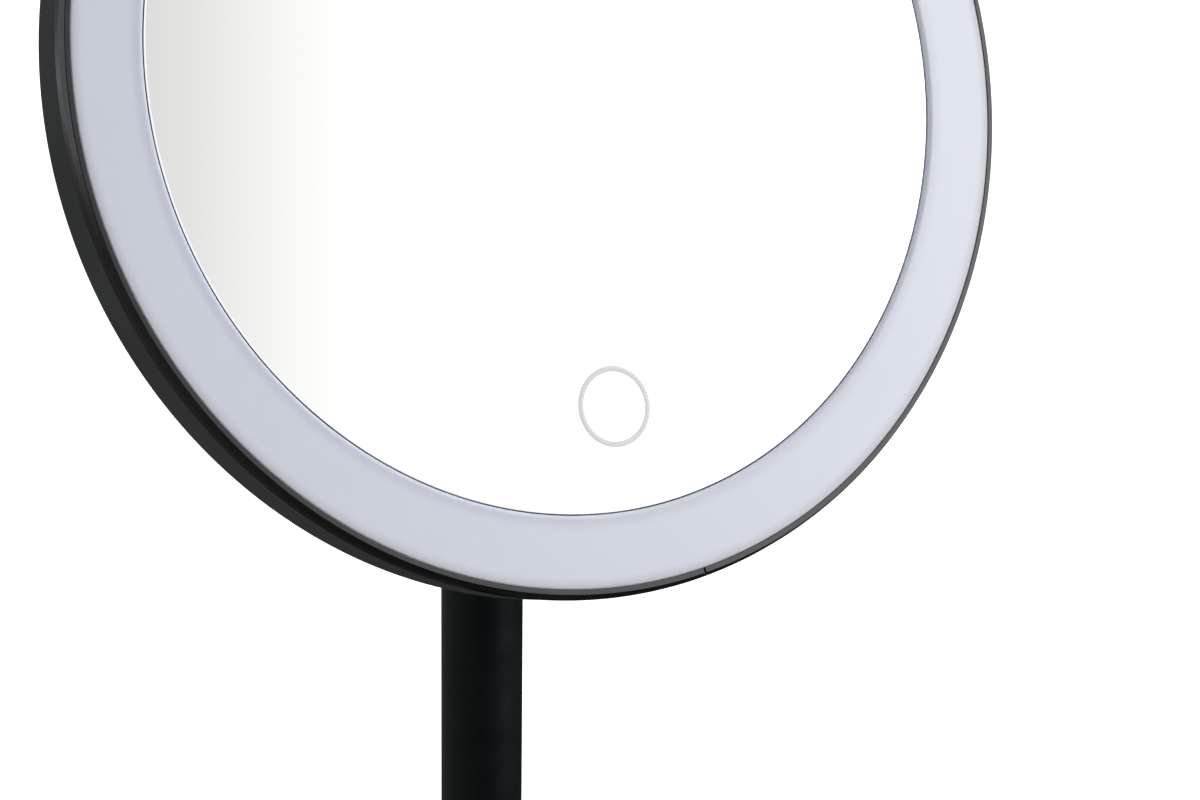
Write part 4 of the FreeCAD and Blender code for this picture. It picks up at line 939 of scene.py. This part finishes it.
def make_floor():
    """White to the camera, with soft contact shadows. To other rays it is a stage in a dim room: an even
    fill for matt surfaces, bright only far behind to the left for glossy ones, pale for the mirror."""
    bpy.ops.mesh.primitive_plane_add(size=FLOOR_SIZE)
    floor = bpy.context.object
    floor.name = "floor"
    material, tree, out = stage_material("pale_floor")
    place = tree.add("TexCoord").outputs["Object"]
    path = tree.add("LightPath").outputs
    grain = tree.add("TexNoise")
    grain.inputs["Scale"].default_value = 3.0
    tree.join(place, grain.inputs["Vector"])
    shade = tree.remap(grain.outputs["Fac"], 0.3, 0.7, 0.88, 0.92, smooth=True)
    tone = tree.add("CombineColor")
    for channel in ("Red", "Green", "Blue"):
        tree.join(shade, tone.inputs[channel])
    paper = tree.add("BsdfDiffuse")
    tree.join(tone.outputs["Color"], paper.inputs["Color"])
    reach = tree.add("VectorMath", operation="LENGTH")
    tree.join(place, reach.inputs[0])
    lift = tree.add("Emission")
    tree.join(tree.remap(reach.outputs["Value"], *FLOOR_FADE, FLOOR_LIFT, 1.0, smooth=True),
              lift.inputs["Strength"])
    seen = tree.add("AddShader")
    tree.join(paper.outputs["BSDF"], seen.inputs[0])
    tree.join(lift.outputs["Emission"], seen.inputs[1])
    glossy = tree.profile(tree.along(place, GLOSSY_SIDE), GLOSSY_START, GLOSSY_END, GLOSSY_GLOW)
    other = tree.remap(path["Is Singular Ray"], 0.0, 1.0, DIFFUSE_FLOOR, MIRRORED_FLOOR, smooth=True)
    is_rough = tree.math("SUBTRACT", path["Is Glossy Ray"], path["Is Singular Ray"])
    room = tree.add("Emission")
    tree.join(tree.blend(is_rough, other, glossy), room.inputs["Strength"])
    mixed = tree.mix_shaders(path["Is Camera Ray"], room.outputs["Emission"], seen.outputs["Shader"])
    tree.join(mixed, out.inputs["Surface"])
    material.cycles.emission_sampling = "NONE"
    floor.data.materials.append(material)


def panel_material():
    """Glows on its face alone, by a profile along its width, and thins out at its four edges."""
    material, tree, out = stage_material("key_panel")
    place = tree.coordinates(tree.add("TexCoord").outputs["Object"])
    path = tree.add("LightPath").outputs
    strength = tree.profile(place["X"], PANEL_LEFT, PANEL_RIGHT, PANEL_GLOW)
    thrown = tree.math("MINIMUM", path["Diffuse Depth"], path["Is Singular Ray"])
    glow = tree.add("Emission")
    glow.inputs["Color"].default_value = (*PANEL_COLOR, 1)
    tree.join(tree.blend(thrown, strength, PANEL_THROWN), glow.inputs["Strength"])
    body = tree.math("SUBTRACT", 1.0, tree.add("NewGeometry").outputs["Backfacing"])
    height = tree.math("ABSOLUTE", place["Y"])
    for source, start, end, to_start, to_end in (
            (height, PANEL_HALF_HEIGHT - PANEL_SOFT_EDGE, PANEL_HALF_HEIGHT, 1.0, 0.0),
            (place["X"], PANEL_LEFT, PANEL_LEFT + PANEL_SOFT_EDGE, 0.0, 1.0),
            (place["X"], PANEL_RIGHT - PANEL_SOFT_EDGE, PANEL_RIGHT, 1.0, 0.0)):
        edge = tree.remap(source, start, end, to_start, to_end, smooth=True)
        body = tree.math("MULTIPLY", body, edge)
    clear = tree.add("BsdfTransparent").outputs["BSDF"]
    tree.join(tree.mix_shaders(body, clear, glow.outputs["Emission"]), out.inputs["Surface"])
    return material


def make_key_panel(camera):
    """A large panel, square to the reflected view, unseen by the camera itself."""
    eye = camera.matrix_world.translation
    turn = camera.matrix_world.to_3x3()
    ahead, right, up = -turn.col[2], turn.col[0], turn.col[1]
    glass = face_centre + facing * GLASS_LEVEL * MM
    middle = eye + ahead * ((glass - eye).dot(facing) / ahead.dot(facing))

    def reflected(direction):
        return direction - 2 * direction.dot(facing) * facing

    axes = Matrix((reflected(right), -reflected(up), -reflected(ahead))).transposed().to_4x4()
    place = Matrix.Translation(middle + reflected(ahead) * PANEL_DISTANCE) @ axes
    corners = [(x, y, 0) for x, y in ((PANEL_LEFT, -PANEL_HALF_HEIGHT), (PANEL_RIGHT, -PANEL_HALF_HEIGHT),
                                      (PANEL_RIGHT, PANEL_HALF_HEIGHT), (PANEL_LEFT, PANEL_HALF_HEIGHT))]
    data = bpy.data.meshes.new("key_panel")
    data.from_pydata(corners, [], [(0, 1, 2, 3)])
    panel = link("key_panel", data)
    panel.matrix_world = place
    panel.visible_camera = False
    panel.visible_shadow = False
    data.materials.append(panel_material())


def area_light(name, location, target, size, power):
    """A square lamp of that size in metres, pointing at a target, unseen by the camera."""
    data = bpy.data.lights.new(name, "AREA")
    data.size = size
    data.energy = power
    light = bpy.data.objects.new(name, data)
    bpy.context.scene.collection.objects.link(light)
    light.location = location
    light.rotation_euler = (Vector(target) - Vector(location)).to_track_quat("-Z", "Y").to_euler()
    light.visible_camera = False
    return light


def make_world():
    """White to the camera; as light, bright from behind and above and dim from the camera's side."""
    world = bpy.data.worlds.new("studio")
    bpy.context.scene.world = world
    world.use_nodes = True
    world.node_tree.nodes.clear()
    tree = Nodes(world.node_tree)
    path = tree.add("LightPath").outputs
    direction = tree.add("TexCoord").outputs["Generated"]
    height = tree.coordinates(direction)["Z"]
    matt = tree.remap(tree.along(direction, DIM_SIDE), *DIM_RANGE, BRIGHT_LEVEL, DIM_LEVEL, smooth=True)
    rise = tree.remap(height, *HORIZON, HORIZON_LEVEL, 1.0, smooth=True)
    far = tree.remap(tree.along(direction, GLOSSY_SIDE), *FAR_GLOW, smooth=True)
    glossy = tree.math("ADD", tree.math("MULTIPLY", matt, rise), far)
    room = tree.remap(height, *ROOM_HEIGHTS, *MIRRORED_ROOM, smooth=True)
    strength = tree.blend(path["Is Glossy Ray"], matt, glossy)
    strength = tree.blend(path["Is Singular Ray"], strength, room)
    lighting = tree.add("Background")
    lighting.inputs["Color"].default_value = (*LIGHT_COLOR, 1)
    tree.join(strength, lighting.inputs["Strength"])
    seen = tree.add("Background")
    seen.inputs["Color"].default_value = (1, 1, 1, 1)
    lit, white = lighting.outputs["Background"], seen.outputs["Background"]
    mixed = tree.mix_shaders(path["Is Camera Ray"], lit, white)
    tree.join(mixed, tree.add("OutputWorld").inputs["Surface"])
    world.cycles.sampling_method = "NONE"


def make_stage(camera):
    """The floor, the light and the plain view settings."""
    make_floor()
    make_world()
    make_key_panel(camera)
    area_light("top_light", *TOP_LIGHT)
    side = area_light("side_light", *SIDE_LIGHT)
    side.data.color = SIDE_LIGHT_COLOR
    side.visible_glossy = False
    bpy.context.scene.view_settings.view_transform = "Standard"
    bpy.context.scene.view_settings.look = "None"
    bpy.context.scene.cycles.use_denoising = True


# ---------------------------------------------------------------- build

def paint(materials):
    """Gives every shown piece and every carried-over node its slot's finish."""
    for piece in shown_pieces():
        slot = piece.get("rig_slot") or slots[piece["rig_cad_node"]]
        piece.data.materials.clear()
        piece.data.materials.append(materials[slot].material)


camera = make_camera()
make_bezel()
make_housing()
make_diffuser()
make_glass()
make_touch_ring()
make_socket()
tube("outer_tube", OUTER_TUBE_RADIUS, OUTER_TUBE_WALL)
tube("inner_tube", INNER_TUBE_RADIUS, INNER_TUBE_WALL)
make_collar()
make_base_cover()
make_flange()
make_foot_pad()
make_hinge()
paint(make_materials())
make_stage(camera)
